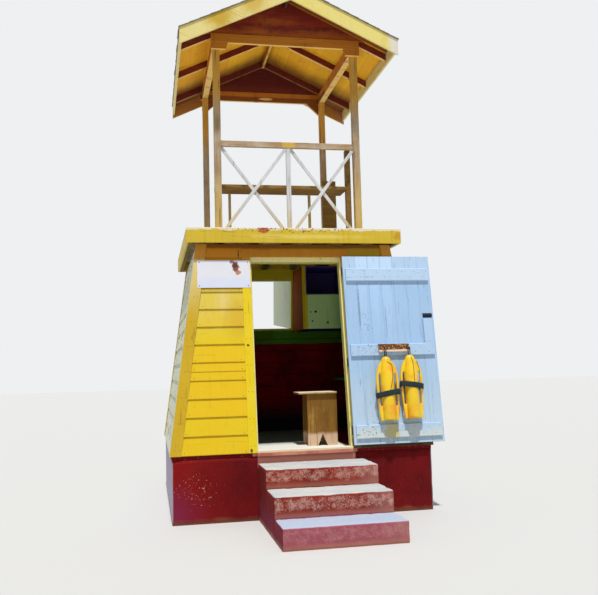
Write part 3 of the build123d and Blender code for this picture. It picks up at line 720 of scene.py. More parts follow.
FINISHES = (
    Paint(
        "yellow_cladding", YELLOW, (226, 186, 14), PALE_PRIMER, BARE_WOOD, Grain.ALONG_X,
        peeling=0.06, grime_and_lap_shade=(150, 96, 10), griming=0.30, roughness=0.46, cracking=0.2,
        lap=BOARD_EXPOSURE * LEAN_COSINE, lap_start=FLOOR_LEVEL,
        touches=(
            Reach((214, 194, 84), Axis.Z, 1.75, 2.25, 0.75, 0.25),
            # Painted sheen: a darker ochre and a pale soft vertical band on the upper boards left of the
            # door.
            Blot((204, 160, 24), (-0.66, -1.22, 2.05), 0.42, 0.55, 0.8, 3, (2.2, 1.0, 1.0), 0.9),
            Blot((226, 200, 130), (-0.80, -1.2, 2.25), 0.20, 0.6, 0.6, 4, (1.6, 1.0, 1.0), 0.9),
            Reach((176, 138, 22), Axis.Z, 2.34, 2.38, 0.9),
            # Painted shade: darker ochre on the boards above the line where the deck's shadow falls.
            Reach((200, 128, 16), Axis.Z, 2.68, 2.70, 0.95),
            Blot(DARK_STAIN_AND_SHADE, (-0.622, -1.09, 2.755), 0.058, 0.9, 0.3, 30, (8.0, 0.3, 1.0)),
        ),
    ),
    Paint(
        "olive_cladding", (150, 122, 20), (176, 138, 22), (120, 92, 40), DARK_STAIN_AND_SHADE,
        Grain.ALONG_X, peeling=0.2, grime_and_lap_shade=(84, 60, 10), griming=0.45, roughness=0.6,
        touches=(
            Reach((190, 118, 14), Axis.X, 0.1, -0.60, 0.9, 0.05),
            # Painted shade: a dark red-brown line along the top, right under the deck.
            Reach((120, 52, 14), Axis.Z, 2.815, 2.825, 0.7),
            # Painted shade: near-black along the foot, below the open door.
            Reach((54, 22, 10), Axis.Z, 0.80, 0.76, 0.9),
        ),
    ),
    Paint(
        "side_cladding", (206, 214, 190), (222, 224, 206), (176, 174, 120), BARE_WOOD,
        Grain.ALONG_Y, peeling=0.5, grime_and_lap_shade=(120, 116, 84), griming=0.45, roughness=0.66,
    ),
    Paint(
        "back_cladding", (206, 214, 190), (222, 224, 206), (176, 174, 120), BARE_WOOD,
        Grain.ALONG_X, peeling=0.45, grime_and_lap_shade=(120, 116, 84), griming=0.45, roughness=0.66,
    ),
    Paint(
        "corner_trim", (200, 164, 26), (212, 176, 46), PALE_PRIMER, BARE_WOOD, Grain.ALONG_Z,
        peeling=0.22, grime_and_lap_shade=(130, 88, 16), griming=0.4,
        touches=(
            Facing((208, 212, 196), Axis.X, 0.9, -1.0),
            Facing((208, 212, 196), Axis.X, 0.9, 1.0),
            Reach((226, 210, 150), Axis.Z, 2.0, 2.7, 0.7, 0.3),
            # Painted shade: darker ochre under the deck.
            Reach((200, 132, 18), Axis.Z, 2.68, 2.70, 0.9),
            # Painted shade: near-black on the right board below the open door.
            Both(Reach((54, 22, 10), Axis.Z, 0.80, 0.76, 0.9), ON_RIGHT),
        ),
    ),
    Paint(
        "casing_trim", (228, 200, 18), (234, 208, 60), PALE_PRIMER, BARE_WOOD, Grain.ALONG_Z,
        peeling=0.2, grime_and_lap_shade=(140, 96, 16), griming=0.35,
        touches=(
            Reach((164, 146, 56), Axis.X, 0.0, 0.1, 0.85),
            # Painted shade: darker ochre at the top, under the deck.
            Reach((186, 124, 16), Axis.Z, 2.65, 2.68, 0.95),
            # Painted shade: near-black on the right casing below the open door.
            Both(Reach((54, 22, 10), Axis.Z, 0.80, 0.76, 0.8), ON_RIGHT),
        ),
        marks=(
            Blot(DARK_STAIN_AND_SHADE, (-0.555, -1.27, 1.77), 0.017, 0.9, 1.2, 40),
            # Painted shade: a dark patch at the foot of the left casing.
            Blot(DARK_STAIN_AND_SHADE, (-0.56, -1.42, 0.70), 0.022, 0.9, 1.6, 30, (1.6, 1.0, 1.0)),
        ),
    ),
    Paint(
        "head_trim", (186, 120, 14), (202, 140, 26), (190, 160, 90), BARE_WOOD, Grain.ALONG_X,
        peeling=0.2, grime_and_lap_shade=(90, 50, 8), griming=0.5,
    ),
    Paint(
        "fascia_trim", (212, 182, 46), (226, 200, 84), PALE_PRIMER, BARE_WOOD, Grain.ALONG_X,
        peeling=0.3, grime_and_lap_shade=(120, 66, 12), griming=0.55, cracking=0.6,
        marks=(
            # Painted highlight: a pale band along the middle of the fascia.
            Blot((240, 222, 120), (0.1, -1.215, 2.93), 0.9, 0.5, 1.6, 7, (1.0, 1.0, 24.0), 0.8),
            Reach((236, 226, 200), Axis.Z, 2.990, 3.006, 0.9, 0.085),
            Blot((176, 66, 28), (-0.36, -1.215, 3.000), 0.062, 0.85, 1.6, 42, (0.9, 1.0, 1.5)),
            Flecks((110, 46, 16), (0.0, -1.215, 3.0), 1.4, 46, 0.85, 0.9, (1.0, 1.0, 26.0)),
            Blot((186, 128, 34), (1.14, -1.215, 2.94), 0.06, 0.6, 1.8, 24, soft=0.7),
        ),
    ),
    Paint(
        "fascia_side_trim", (214, 186, 60), (228, 206, 110), PALE_PRIMER, BARE_WOOD, Grain.ALONG_Y,
        peeling=0.5, grime_and_lap_shade=(120, 66, 12), griming=0.6, cracking=0.6,
    ),
    Paint(
        "barge_left", (232, 216, 140), (222, 196, 96), (206, 160, 50), BARE_WOOD, Grain.ALONG_X,
        peeling=0.2, grime_and_lap_shade=(190, 150, 30), griming=0.45, turn=-ROOF_PITCH,
        touches=(
            Blot((200, 162, 24), (-0.80, -1.25, 5.33), 0.24, 0.9, 1.2, 7, soft=0.85),
            Blot((206, 166, 40), (-0.42, -1.25, 5.52), 0.22, 0.7, 1.2, 7, soft=0.85),
            Both(Reach((184, 100, 26), Axis.Y, 0.5, 0.6, 0.85), TO_FRONT),
        ),
    ),
    Paint(
        "barge_right", (236, 220, 130), (228, 204, 100), (214, 176, 70), BARE_WOOD, Grain.ALONG_X,
        peeling=0.18, grime_and_lap_shade=(196, 156, 40), griming=0.4, turn=ROOF_PITCH,
        touches=(
            Reach((230, 224, 214), Axis.X, 1.08, 1.17, 0.9, 0.06),
            Both(Reach((184, 100, 26), Axis.Y, 0.5, 0.6, 0.85), TO_FRONT),
        ),
    ),
    Paint(
        "eave_trim", (228, 212, 140), (216, 190, 96), (196, 150, 60), BARE_WOOD, Grain.ALONG_Y,
        peeling=0.4, grime_and_lap_shade=(120, 90, 40), griming=0.5,
    ),
    Paint(
        "door_planks", DOOR_BLUE, (180, 206, 232), (150, 172, 166), (132, 122, 96),
        Grain.ALONG_Z, peeling=0.1, grime_and_lap_shade=(112, 138, 160), griming=0.35, roughness=0.55, cracking=0.45,
        low_wear=(0.72, 1.35, 0.08),
        touches=(
            Reach((184, 206, 224), Axis.Z, 1.7, 1.0, 0.8, 0.4),
            Reach((186, 210, 234), Axis.Z, 2.36, 2.56, 0.7, 0.2),
        ),
        marks=(
            Flecks((104, 110, 104), (0.70, -1.25, 1.98), 0.26, 70, 0.62, 0.75),
            Flecks((120, 108, 76), (0.72, -1.42, 0.88), 0.22, 64, 0.6, 0.85),
            Blot((96, 112, 124), (0.66, -1.24, 2.16), 0.26, 0.6, 1.6, 26, (22.0, 1.0, 1.0)),
            Blot((110, 124, 134), (0.95, -1.24, 2.0), 0.22, 0.45, 1.6, 26, (26.0, 1.0, 1.0)),
        ),
    ),
    Paint(
        "door_battens", (172, 200, 230), (184, 208, 230), (140, 164, 160), (120, 112, 92),
        Grain.ALONG_X, peeling=0.12, grime_and_lap_shade=(112, 138, 160), griming=0.35, roughness=0.55, cracking=0.4,
        low_wear=(0.72, 1.2, 0.08),
        touches=(
            Reach((204, 212, 206), Axis.Z, 0.95, 0.80, 0.8, 0.2),
            Reach((188, 212, 236), Axis.Z, 2.36, 2.46, 0.7),
        ),
        marks=(
            Flecks((104, 104, 92), (0.75, -1.36, 1.7), 0.34, 70, 0.7, 0.8),
            Flecks((104, 92, 72), (0.70, -1.46, 0.84), 0.20, 60, 0.7, 0.85),
            # Painted shadow of the left can on the bottom ledge, tinted tan by light reflected from the can.
            Blot((196, 184, 104), (0.92, -1.47, 0.79), 0.09, 0.7, 1.2, 16, (1.0, 1.0, 0.5)),
        ),
    ),
    Paint(
        "jamb_paint", (210, 200, 110), (190, 160, 50), (150, 120, 60), DARK_STAIN_AND_SHADE, Grain.ALONG_Z,
        peeling=0.4, grime_and_lap_shade=(90, 66, 20), griming=0.5,
        touches=(Facing((236, 226, 160), Axis.Y, 0.9, -1.0, 0.6, 0.9),),
    ),
    Paint(
        "window_paint", (216, 216, 90), (226, 222, 120), (150, 140, 60), BARE_WOOD, Grain.ALONG_X,
        peeling=0.3, grime_and_lap_shade=(70, 76, 20), griming=0.4,
    ),
    Paint(
        "shutter_paint", (222, 236, 212), (228, 238, 220), (160, 166, 130), BARE_WOOD,
        Grain.ALONG_Z, peeling=0.35, griming=0.35,
    ),
    Paint(
        "cabinet_side_paint", (176, 92, 22), (150, 70, 16), (110, 56, 20), DARK_STAIN_AND_SHADE,
        Grain.ALONG_Z, peeling=0.1, grime_and_lap_shade=(60, 22, 10), griming=0.4, roughness=0.8, gloss=0.05,
        touches=(
            Facing((226, 206, 40), Axis.Y, 0.95, -1.0),
            # Painted shade: dark blue on the cabinet beyond its left side.
            Reach((60, 52, 150), Axis.X, 0.412, 0.424, 0.92),
        ),
    ),
    Paint(
        "cabinet_paint", (214, 255, 176), (200, 246, 164), (120, 130, 70), DARK_STAIN_AND_SHADE,
        Grain.ALONG_Z, peeling=0.1, grime_and_lap_shade=(60, 66, 30), griming=0.2, gloss=0.1,
        touches=(
            Reach((226, 206, 40), Axis.X, 0.438, 0.430, 0.95),
            Reach((110, 190, 140), Axis.X, 0.70, 0.90, 0.7, 0.1),
        ),
        marks=(
            Blot(DARK_STAIN_AND_SHADE, (0.535, 0.37, 2.235), 0.017, 1.0, 0.7, 40),
            Blot(DARK_STAIN_AND_SHADE, (0.470, 0.37, 2.232), 0.010, 1.0, 0.7, 40),
            Blot(DARK_STAIN_AND_SHADE, (0.492, 0.37, 2.116), 0.014, 0.9, 1.0, 50),
            Blot((90, 96, 50), (0.689, 0.37, 2.094), 0.020, 0.8, 1.0, 50),
        ),
    ),
    Paint(
        "shelf_paint", (60, 150, 100), (66, 150, 96), (80, 90, 50), DARK_STAIN_AND_SHADE, Grain.ALONG_Y,
        peeling=0.1, grime_and_lap_shade=(20, 26, 18), griming=0.3, gloss=0.1,
        # Painted sunlight: bright yellow on the lower shelf.
        touches=(Reach((250, 240, 80), Axis.Z, 1.12, 1.08, 0.95),),
    ),
    Timber(
        "post_timber", (150, 122, 84), (206, 180, 140), (208, 196, 176), Grain.ALONG_Z, 0.55,
        touches=(
            Reach((216, 184, 96), Axis.Z, 3.9, 3.1, 0.7, 0.5),
            Reach((206, 150, 34), Axis.Z, 4.25, 4.75, 0.85, 0.1),
        ),
    ),
    Timber(
        "rail_timber", (156, 120, 72), (204, 174, 128), (212, 200, 182), Grain.ALONG_X, 0.6,
        touches=(Blot((216, 176, 60), (0.0, -0.88, 4.06), 0.09, 0.8, 1.4, 20),),
    ),
    Timber(
        "brace_timber", (190, 190, 190), (222, 224, 226), (234, 236, 240), Grain.ALONG_Z, 0.6,
        staining=0.12, touches=(Reach((214, 190, 120), Axis.Z, 3.45, 3.1, 0.5, 0.3),),
    ),
    Timber(
        "bench_timber", (116, 84, 26), (170, 132, 52), (176, 150, 80), Grain.ALONG_X, 0.35
    ),
    Timber("deck_timber", (176, 150, 104), (214, 192, 150), (222, 212, 192), Grain.ALONG_X, 0.8),
    Timber("joist_timber", (96, 84, 14), (134, 118, 26), (120, 108, 40), Grain.ALONG_Y, 0.2),
    Timber(
        "roof_lining", (246, 176, 16), (255, 200, 26), (250, 200, 50), Grain.ALONG_Y, 0.05,
        stain=(170, 90, 10), staining=0.35, cracking=0.12,
        touches=(
            # Painted shade: dark maroon towards the back gable, and on the soffit of the front overhang.
            Reach(MAROON, Axis.Y, 0.35, 0.86, 0.85, 0.25),
            Reach((116, 34, 10), Axis.Y, -0.88, -0.92, 0.9),
        ),
    ),
    Timber(
        "roof_framing", (180, 106, 14), (214, 144, 24), (206, 150, 50), Grain.ALONG_X, 0.1,
        stain=(120, 50, 10), staining=0.6, cracking=0.35,
        touches=(
            # Painted shade: darker lower part of the framing at the back.
            Both(Reach((120, 62, 12), Axis.Z, 5.235, 5.225, 0.85, 0.01), Reach(MAROON, Axis.Y, 0.4, 0.5)),
            Blot((236, 200, 120), (0.03, 0.84, 5.205), 0.115, 0.9, 0.3, 30, (1.0, 1.0, 5.5)),
            # Painted light: pale faces that look down, lit by light thrown up from the ground.
            Facing((250, 214, 120), Axis.Z, 0.8, -1.0),
            # Painted shade: dark on the front end of the ridge board.
            Both(Reach((70, 18, 8), Axis.Y, -0.86, -0.88, 0.95), Reach(MAROON, Axis.Z, 5.5, 5.55)),
        ),
    ),
    Timber(
        "rafter_timber", (110, 26, 10), (150, 60, 16), (150, 70, 20), Grain.ALONG_X, 0.1,
        stain=MAROON, staining=0.7,
        touches=(
            # Painted light: pale faces that look down, lit by light thrown up from the ground.
            Facing((250, 208, 110), Axis.Z, 0.9, -1.0),
            # Painted shade: darker towards the back gable.
            Reach((110, 30, 12), Axis.Y, 0.6, 0.7, 0.75),
            # Painted shade: dark round the apex where the front rafters meet.
            Blot((84, 22, 8), (0.0, -1.1, 5.66), 0.30, 0.95, 0.0),
        ),
    ),
    Timber(
        "gable_boarding", (104, 14, 6), (146, 40, 12), (176, 84, 20), Grain.ALONG_X, 0.3,
        staining=0.5, stain=(60, 6, 6),
        touches=(
            Reach((190, 104, 20), Axis.Z, 5.42, 5.31, 0.6, 0.2),
            Blot((176, 88, 20), (-0.15, -0.9, 5.48), 0.30, 0.6, 2.0, 14, (1.0, 1.0, 3.4), 0.9),
            # Painted shade: darker boards in the back gable.
            Reach((84, 6, 4), Axis.Y, 0.0, 0.1, 0.85),
        ),
    ),
    Timber("shingle_timber", (92, 80, 62), (134, 118, 92), (152, 146, 132), Grain.ALONG_X, 0.5),
    Timber(
        "stool_timber", (120, 78, 14), (186, 142, 42), (200, 168, 90), Grain.ALONG_Z, 0.1,
        stain=(84, 44, 10), staining=0.4,
        touches=(
            Reach((228, 196, 164), Axis.Z, 0.83, 0.78, 0.85, 0.06),
            Facing((240, 232, 216), Axis.Z, 0.9),
            Both(Reach((216, 190, 130), Axis.Z, 1.236, 1.242, 0.9), TO_FRONT),
        ),
    ),
    Timber(
        "rack_timber", (84, 44, 16), (150, 92, 40), (120, 74, 36), Grain.ALONG_X, 0.2,
        stain=(50, 22, 10), staining=0.8,
        touches=(
            Flecks((222, 164, 92), (1.0, -1.4, 1.715), 0.34, 44, 0.9, 0.8, (0.5, 1.0, 1.6)),
            Reach((240, 218, 196), Axis.Z, 1.692, 1.684, 0.9),
        ),
    ),
    Masonry(
        "plinth_render", PLINTH_RED, (90, 5, 10), PLINTH_RED, (90, 5, 10),
        (160, 92, 84), flaking=0.02, foot=(140, 86, 60), foot_height=0.06, streaks=0.15,
        touches=(
            Reach((146, 18, 14), Axis.X, -0.75, -1.25, 0.6, 0.5),
            Blot((120, 40, 80), (-1.36, -1.4, 0.05), 0.42, 0.6, 0.6, 6, soft=0.9),
            Both(
                Both(Reach((196, 132, 116), Axis.X, -0.502, -0.492), IN_FRONT),
                Both(LEFT_OF_STEPS_END, Reach(MAROON, Axis.Z, 0.5, 0.55)),
            ),
            Facing((190, 184, 204), Axis.X, 0.92, -1.0),
            Facing((190, 184, 204), Axis.X, 0.92, 1.0),
            Flecks((214, 170, 160), (-1.12, -1.4, 0.34), 0.42, 52, 0.42, 0.8),
        ),
    ),
    Masonry(
        "step_concrete", STEP_RED, (122, 34, 26), (196, 196, 190), (170, 176, 186), FLAKED_PINK,
        flaking=0.1, foot=(176, 120, 100), foot_height=0.05, streaks=0.1, patches=0.62,
        touches=(
            Both(Reach((158, 82, 98), Axis.Z, 0.24, 0.19, 0.85), TO_FRONT),
            Both(Reach((170, 116, 110), Axis.X, 0.30, 0.60, 0.5, 0.3), TO_FRONT),
            Both(Reach((164, 178, 206), Axis.Z, 0.24, 0.20, 0.7), TO_TOP),
            # Painted shade: dark red on the left faces of the steps.
            Facing((104, 12, 20), Axis.X, 0.85, -1.0),
            Both(Reach((120, 34, 60), Axis.Z, 0.30, 0.12, 0.7, 0.1), TO_LEFT),
        ),
    ),
    Masonry(
        "slab_concrete", (206, 140, 116), (176, 96, 80), (232, 228, 214), (214, 212, 206),
        (230, 212, 190), flaking=0.4, streaks=0.0,
        touches=(
            # Painted shade: dark grey-green on the floor inside, beyond the sunlit strip by the doorway.
            Reach((90, 104, 98), Axis.Y, -0.75, -0.3, 0.9, 0.25),
            Reach(PLINTH_RED, Axis.X, -DOORWAY_HALF - 0.01, -DOORWAY_HALF - 0.02),
            Reach(PLINTH_RED, Axis.X, DOORWAY_HALF + 0.01, DOORWAY_HALF + 0.02),
            Both(Reach((238, 214, 178), Axis.Z, 0.670, 0.680, 0.9, 0.02), TO_FRONT),
        ),
    ),
    Metal(
        "sign_plate", (222, 222, 230), (150, 74, 34), 0.05,
        touches=(
            # Painted light: the lower part a bluer white, as where it is lit, against a shaded top.
            Reach((206, 216, 240), Axis.Z, 2.52, 2.44, 0.6, 0.05),
            Blot(RUST, (-0.657, -1.15, 2.610), 0.056, 0.95, 1.6, 38, (1.3, 1.0, 0.9)),
            Blot((70, 22, 16), (-0.665, -1.15, 2.625), 0.034, 0.9, 1.6, 48),
            Blot((176, 96, 40), (-0.632, -1.16, 2.548), 0.032, 0.85, 1.6, 48),
            Blot(RUST, (-0.700, -1.14, 2.664), 0.024, 0.8, 1.6, 48),
        ),
    ),
    Metal("hinge_steel", (58, 50, 46), (120, 58, 26), 0.75, metallic=0.6),
    Metal("bolt_steel", (24, 34, 44), (60, 40, 30), 0.2, metallic=0.4),
    Metal("nail_steel", (66, 52, 44), (128, 62, 28), 0.85, metallic=0.3),
    Moulded("can_plastic", (240, 200, 16), (240, 160, 16), (248, 226, 130)),
    Webbing("strap_webbing", (10, 26, 32), (34, 62, 70)),
    Room("room_front", ROOM_GREEN, ROOM_RED, ROOM_LINE, Grain.ALONG_X),
    Room("room_side", ROOM_GREEN, ROOM_RED, ROOM_LINE, Grain.ALONG_Y),
)
BY_NAME = {finish.name: finish for finish in FINISHES}


@functools.cache
def finished(name: str) -> bpy.types.Material:
    """The material of a finish, built when it is first asked for."""
    return BY_NAME[name].build()


@dataclass
class LeaningFace:
    """One outer face of the cabin: x along it, y up its slope and z outwards."""

    origin: Vector
    along: Vector
    outward: Vector
    half_width: float
    lean: float

    @property
    def matrix(self) -> Matrix:
        """From the face's own axes to the tower's."""
        up = self.outward.cross(self.along)
        turned = Matrix((self.along, up, self.outward)).transposed().to_4x4()
        turned.translation = self.origin
        return turned

    def edge(self, up: float) -> float:
        """Half of the face's width at a place up its slope."""
        return self.half_width - up * math.sin(self.lean)

    def box(self, mesh: bpy.types.Mesh) -> tuple[Vector, Vector]:
        """The lowest and highest corner of a mesh in the face's own axes."""
        inverse = self.matrix.inverted()
        places = [inverse @ vertex.co for vertex in mesh.vertices]
        parts = list(zip(*places))
        return Vector([min(part) for part in parts]), Vector([max(part) for part in parts])


@dataclass
class Slat:
    """One board of a run: its middle, and its length and width."""

    middle: tuple[float, float, float]
    length: float
    width: float


def evaluated(
    data: bpy.types.ID, group: bpy.types.NodeTree | None = None, values: dict[str, Any] | None = None
) -> bpy.types.Mesh:
    """Turns a curve, or a mesh that a geometry node group works on, into a plain mesh.

    Args:
        data: What goes in. It is removed.
        group: The node group, if there is one.
        values: The group's inputs, by their sockets' identifiers.

    Returns:
        What comes out.
    """
    helper = bpy.data.objects.new("helper", data)
    bpy.context.scene.collection.objects.link(helper)
    if group is not None:
        modifier = helper.modifiers.new("nodes", "NODES")
        modifier.node_group = group
        for key, value in (values or {}).items():
            modifier[key] = value
    bpy.context.view_layer.update()
    graph = bpy.context.evaluated_depsgraph_get()
    made = bpy.data.meshes.new_from_object(helper.evaluated_get(graph), depsgraph=graph)
    bpy.data.objects.remove(helper)
    bpy.data.batch_remove([data])
    return made


class Scatter(Tree):
    """Geometry nodes that put a shape on each point of a mesh and give it a finish."""

    def __init__(self, name: str, inputs: dict[str, str]) -> None:
        """Makes the group with its inputs.

        Args:
            name: Of the group.
            inputs: Kind of each input besides the points and the finish, by its name.
        """
        super().__init__(bpy.data.node_groups.new(name, "GeometryNodeTree"))
        sockets = self.tree.interface
        for way in ("INPUT", "OUTPUT"):
            sockets.new_socket("Geometry", in_out=way, socket_type="NodeSocketGeometry")
        self.keys = {
            key: sockets.new_socket(key, in_out="INPUT", socket_type="NodeSocket" + kind).identifier
            for key, kind in (inputs | {"Finish": "Material"}).items()
        }
        start = self.tree.nodes.new("NodeGroupInput")
        self.given = {key: Wire(self, start.outputs[key]) for key in ("Geometry", *self.keys)}

    def close(self, instances: Wire) -> None:
        """Makes the instances real, gives them the finish and hands them out."""
        real = self.node("GeometryNodeRealizeInstances", values={"Geometry": instances})
        dressed = self.node(
            "GeometryNodeSetMaterial", values={"Geometry": real, "Material": self.given["Finish"]}
        )
        self.node("NodeGroupOutput", values={"Geometry": dressed}, out=None)

    def run(
        self, places: Sequence[Sequence[float]], data: dict[str, list[float]], **values: Any
    ) -> bpy.types.Mesh:
        """Runs the nodes on points.

        Args:
            places: Where the points are.
            data: Numbers to store on the points, by the name of their attribute.
            values: The group's inputs, by name.

        Returns:
            A plain mesh.
        """
        points = bpy.data.meshes.new("points")
        points.from_pydata([tuple(place) for place in places], [], [])
        for name, numbers in data.items():
            points.attributes.new(name, "FLOAT", "POINT").data.foreach_set("value", numbers)
        return evaluated(points, self.tree, {self.keys[key]: value for key, value in values.items()})


class SlatTree(Scatter):
    """Puts a board on each point of a mesh and turns it a little."""

    LENGTH = "slat_length"
    WIDTH = "slat_width"

    def __init__(self) -> None:
        """Builds the nodes."""
        super().__init__("slats", dict(Thickness="Float", Tilt="Float", Looseness="Float", Seed="Int"))
        seed, looseness, thickness = (self.given[key] for key in ("Seed", "Looseness", "Thickness"))
        length, width = (
            self.node("GeometryNodeInputNamedAttribute", {"data_type": "FLOAT"}, {"Name": name}, "Attribute")
            for name in (self.LENGTH, self.WIDTH)
        )
        size = self.node("ShaderNodeCombineXYZ", values={"X": length, "Y": width, "Z": thickness})
        loose = self.node(
            "FunctionNodeRandomValue",
            {"data_type": "FLOAT_VECTOR"},
            {"Seed": seed, "Min": looseness * -1, "Max": looseness},
        )
        tilt = self.node("ShaderNodeCombineXYZ", values={"X": self.given["Tilt"]})
        boards = self.node(
            "GeometryNodeInstanceOnPoints",
            values={
                "Points": self.given["Geometry"],
                "Instance": self.node("GeometryNodeMeshCube"),
                "Rotation": self.vector("ADD", tilt, loose),
                "Scale": size,
            },
        )
        tone = self.node("FunctionNodeRandomValue", {"data_type": "FLOAT"}, {"Seed": seed}, 1)
        self.close(
            self.node(
                "GeometryNodeStoreNamedAttribute",
                {"data_type": "FLOAT", "domain": "INSTANCE"},
                {"Geometry": boards, "Name": "board", "Value": tone},
            )
        )

    def lay(
        self,
        slats: Sequence[Slat],
        thickness: float,
        finish: str,
        seed: int,
        tilt: float = 0.0,
        loose: float = 0.002,
    ) -> bpy.types.Mesh:
        """Makes the boards of a run in one mesh.

        Args:
            slats: The boards' places and sizes.
            thickness: How thick they all are.
            finish: Name of their finish.
            seed: Start of their random turns and tones.
            tilt: Turn about each board's length, in radians.
            loose: Most that a board is turned out of true, in radians.

        Returns:
            A plain mesh with the boards' tones in its board attribute.
        """
        sizes = {self.LENGTH: [slat.length for slat in slats], self.WIDTH: [slat.width for slat in slats]}
        return self.run(
            [slat.middle for slat in slats],
            sizes,
            Thickness=thickness,
            Tilt=tilt,
            Looseness=loose,
            Seed=seed,
            Finish=finished(finish),
        )


class StudTree(Scatter):
    """Puts a small domed head on each point of a mesh."""

    SIDES = 8
    RINGS = 4
    SQUASH = (1, 1, 0.45)

    def __init__(self) -> None:
        """Builds the nodes."""
        super().__init__("studs", {"Radius": "Float"})
        head = self.node(
            "GeometryNodeMeshUVSphere",
            values={"Segments": self.SIDES, "Rings": self.RINGS, "Radius": self.given["Radius"]},
        )
        self.close(
            self.node(
                "GeometryNodeInstanceOnPoints",
                values={"Points": self.given["Geometry"], "Instance": head, "Scale": self.SQUASH},
            )
        )

    def drive(self, places: Sequence[Sequence[float]], radius: float) -> bpy.types.Mesh:
        """Makes the heads of a group of nails in one mesh.

        Args:
            places: Where they are, on the plane that their heads lie on.
            radius: Of a head.

        Returns:
            A plain mesh.
        """
        return self.run(places, {}, Radius=radius, Finish=finished("nail_steel"))


def trimmed(
    mesh: bpy.types.Mesh, cuts: Iterable[tuple[Vector, Vector]], bevel: float = 0.0015
) -> bpy.types.Mesh:
    """Cuts a mesh of closed boards along planes and eases the boards' edges.

    Args:
        mesh: The boards.
        cuts: Points and directions of the planes: what lies in the direction goes.
        bevel: Width of the eased edges.

    Returns:
        The same mesh.
    """
    work = bmesh.new()
    work.from_mesh(mesh)
    work.faces.ensure_lookup_table()
    own = work.faces[0].material_index
    for point, direction in cuts:
        cut = bmesh.ops.bisect_plane(
            work,
            geom=[*work.verts, *work.edges, *work.faces],
            plane_co=point,
            plane_no=direction,
            clear_outer=True,
        )
        rims = [item for item in cut["geom_cut"] if isinstance(item, bmesh.types.BMEdge)]
        bmesh.ops.holes_fill(work, edges=rims)
    if bevel:
        sharp = [edge for edge in work.edges if edge.is_manifold and edge.calc_face_angle(0) > SHARP_EDGE]
        bmesh.ops.bevel(work, geom=sharp, offset=bevel, segments=1, affect="EDGES", clamp_overlap=True)
    bmesh.ops.recalc_face_normals(work, faces=work.faces)
    for face in work.faces:
        face.material_index = own
    work.to_mesh(mesh)
    work.free()
    return mesh


def joined(meshes: Sequence[bpy.types.Mesh]) -> bpy.types.Mesh:
    """Joins meshes that already lie in place, with their materials and attributes."""
    parts = []
    for mesh in meshes:
        helper = bpy.data.objects.new("helper", mesh)
        bpy.context.scene.collection.objects.link(helper)
        parts.append(helper)
    with bpy.context.temp_override(active_object=parts[0], selected_editable_objects=parts):
        bpy.ops.object.join()
    made = parts[0].data
    bpy.data.objects.remove(parts[0])
    return made


def enrol(
    name: str,
    mesh: bpy.types.Mesh,
    body: Body,
    finish: str | None = None,
    replaces: Sequence[str] = (),
) -> None:
    """Makes a piece of the tower from a mesh that already lies in place.

    Args:
        name: The piece's name.
        mesh: Its mesh, in the tower's frame.
        body: What it rides on.
        finish: Name of its finish, where the mesh has none yet.
        replaces: Nodes of the frame that it stands for.
    """
    piece = bpy.data.objects.new(name, mesh)
    bpy.context.scene.collection.objects.link(piece)
    if finish is not None:
        mesh.materials.clear()
        mesh.materials.append(finished(finish))
    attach(piece, body.value)
    if replaces:
        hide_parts(*replaces)
    LOG.info("%s: %d faces on the %s", name, len(mesh.polygons), body.value)


def dress(frame: dict[str, Any], finishes: dict[str, str], bevel: float = 0.003) -> None:
    """Gives nodes of the frame their finish and eases their edges.

    Args:
        frame: The loaded frame.
        finishes: The finish's name for each node.
        bevel: Width of the eased edges.
    """
    for name, finish in finishes.items():
        node = frame["nodes"][name]
        node.data.materials.clear()
        node.data.materials.append(finished(finish))
        if bevel:
            weld = node.modifiers.new("weld", "WELD")
            weld.merge_threshold = WELD_GAP
            ease = node.modifiers.new("ease", "BEVEL")
            ease.width = bevel
            ease.segments = 2
            ease.limit_method = "ANGLE"
            ease.angle_limit = EASED_ANGLE
            ease.harden_normals = False
        LOG.info("%s is finished with %s", name, finish)


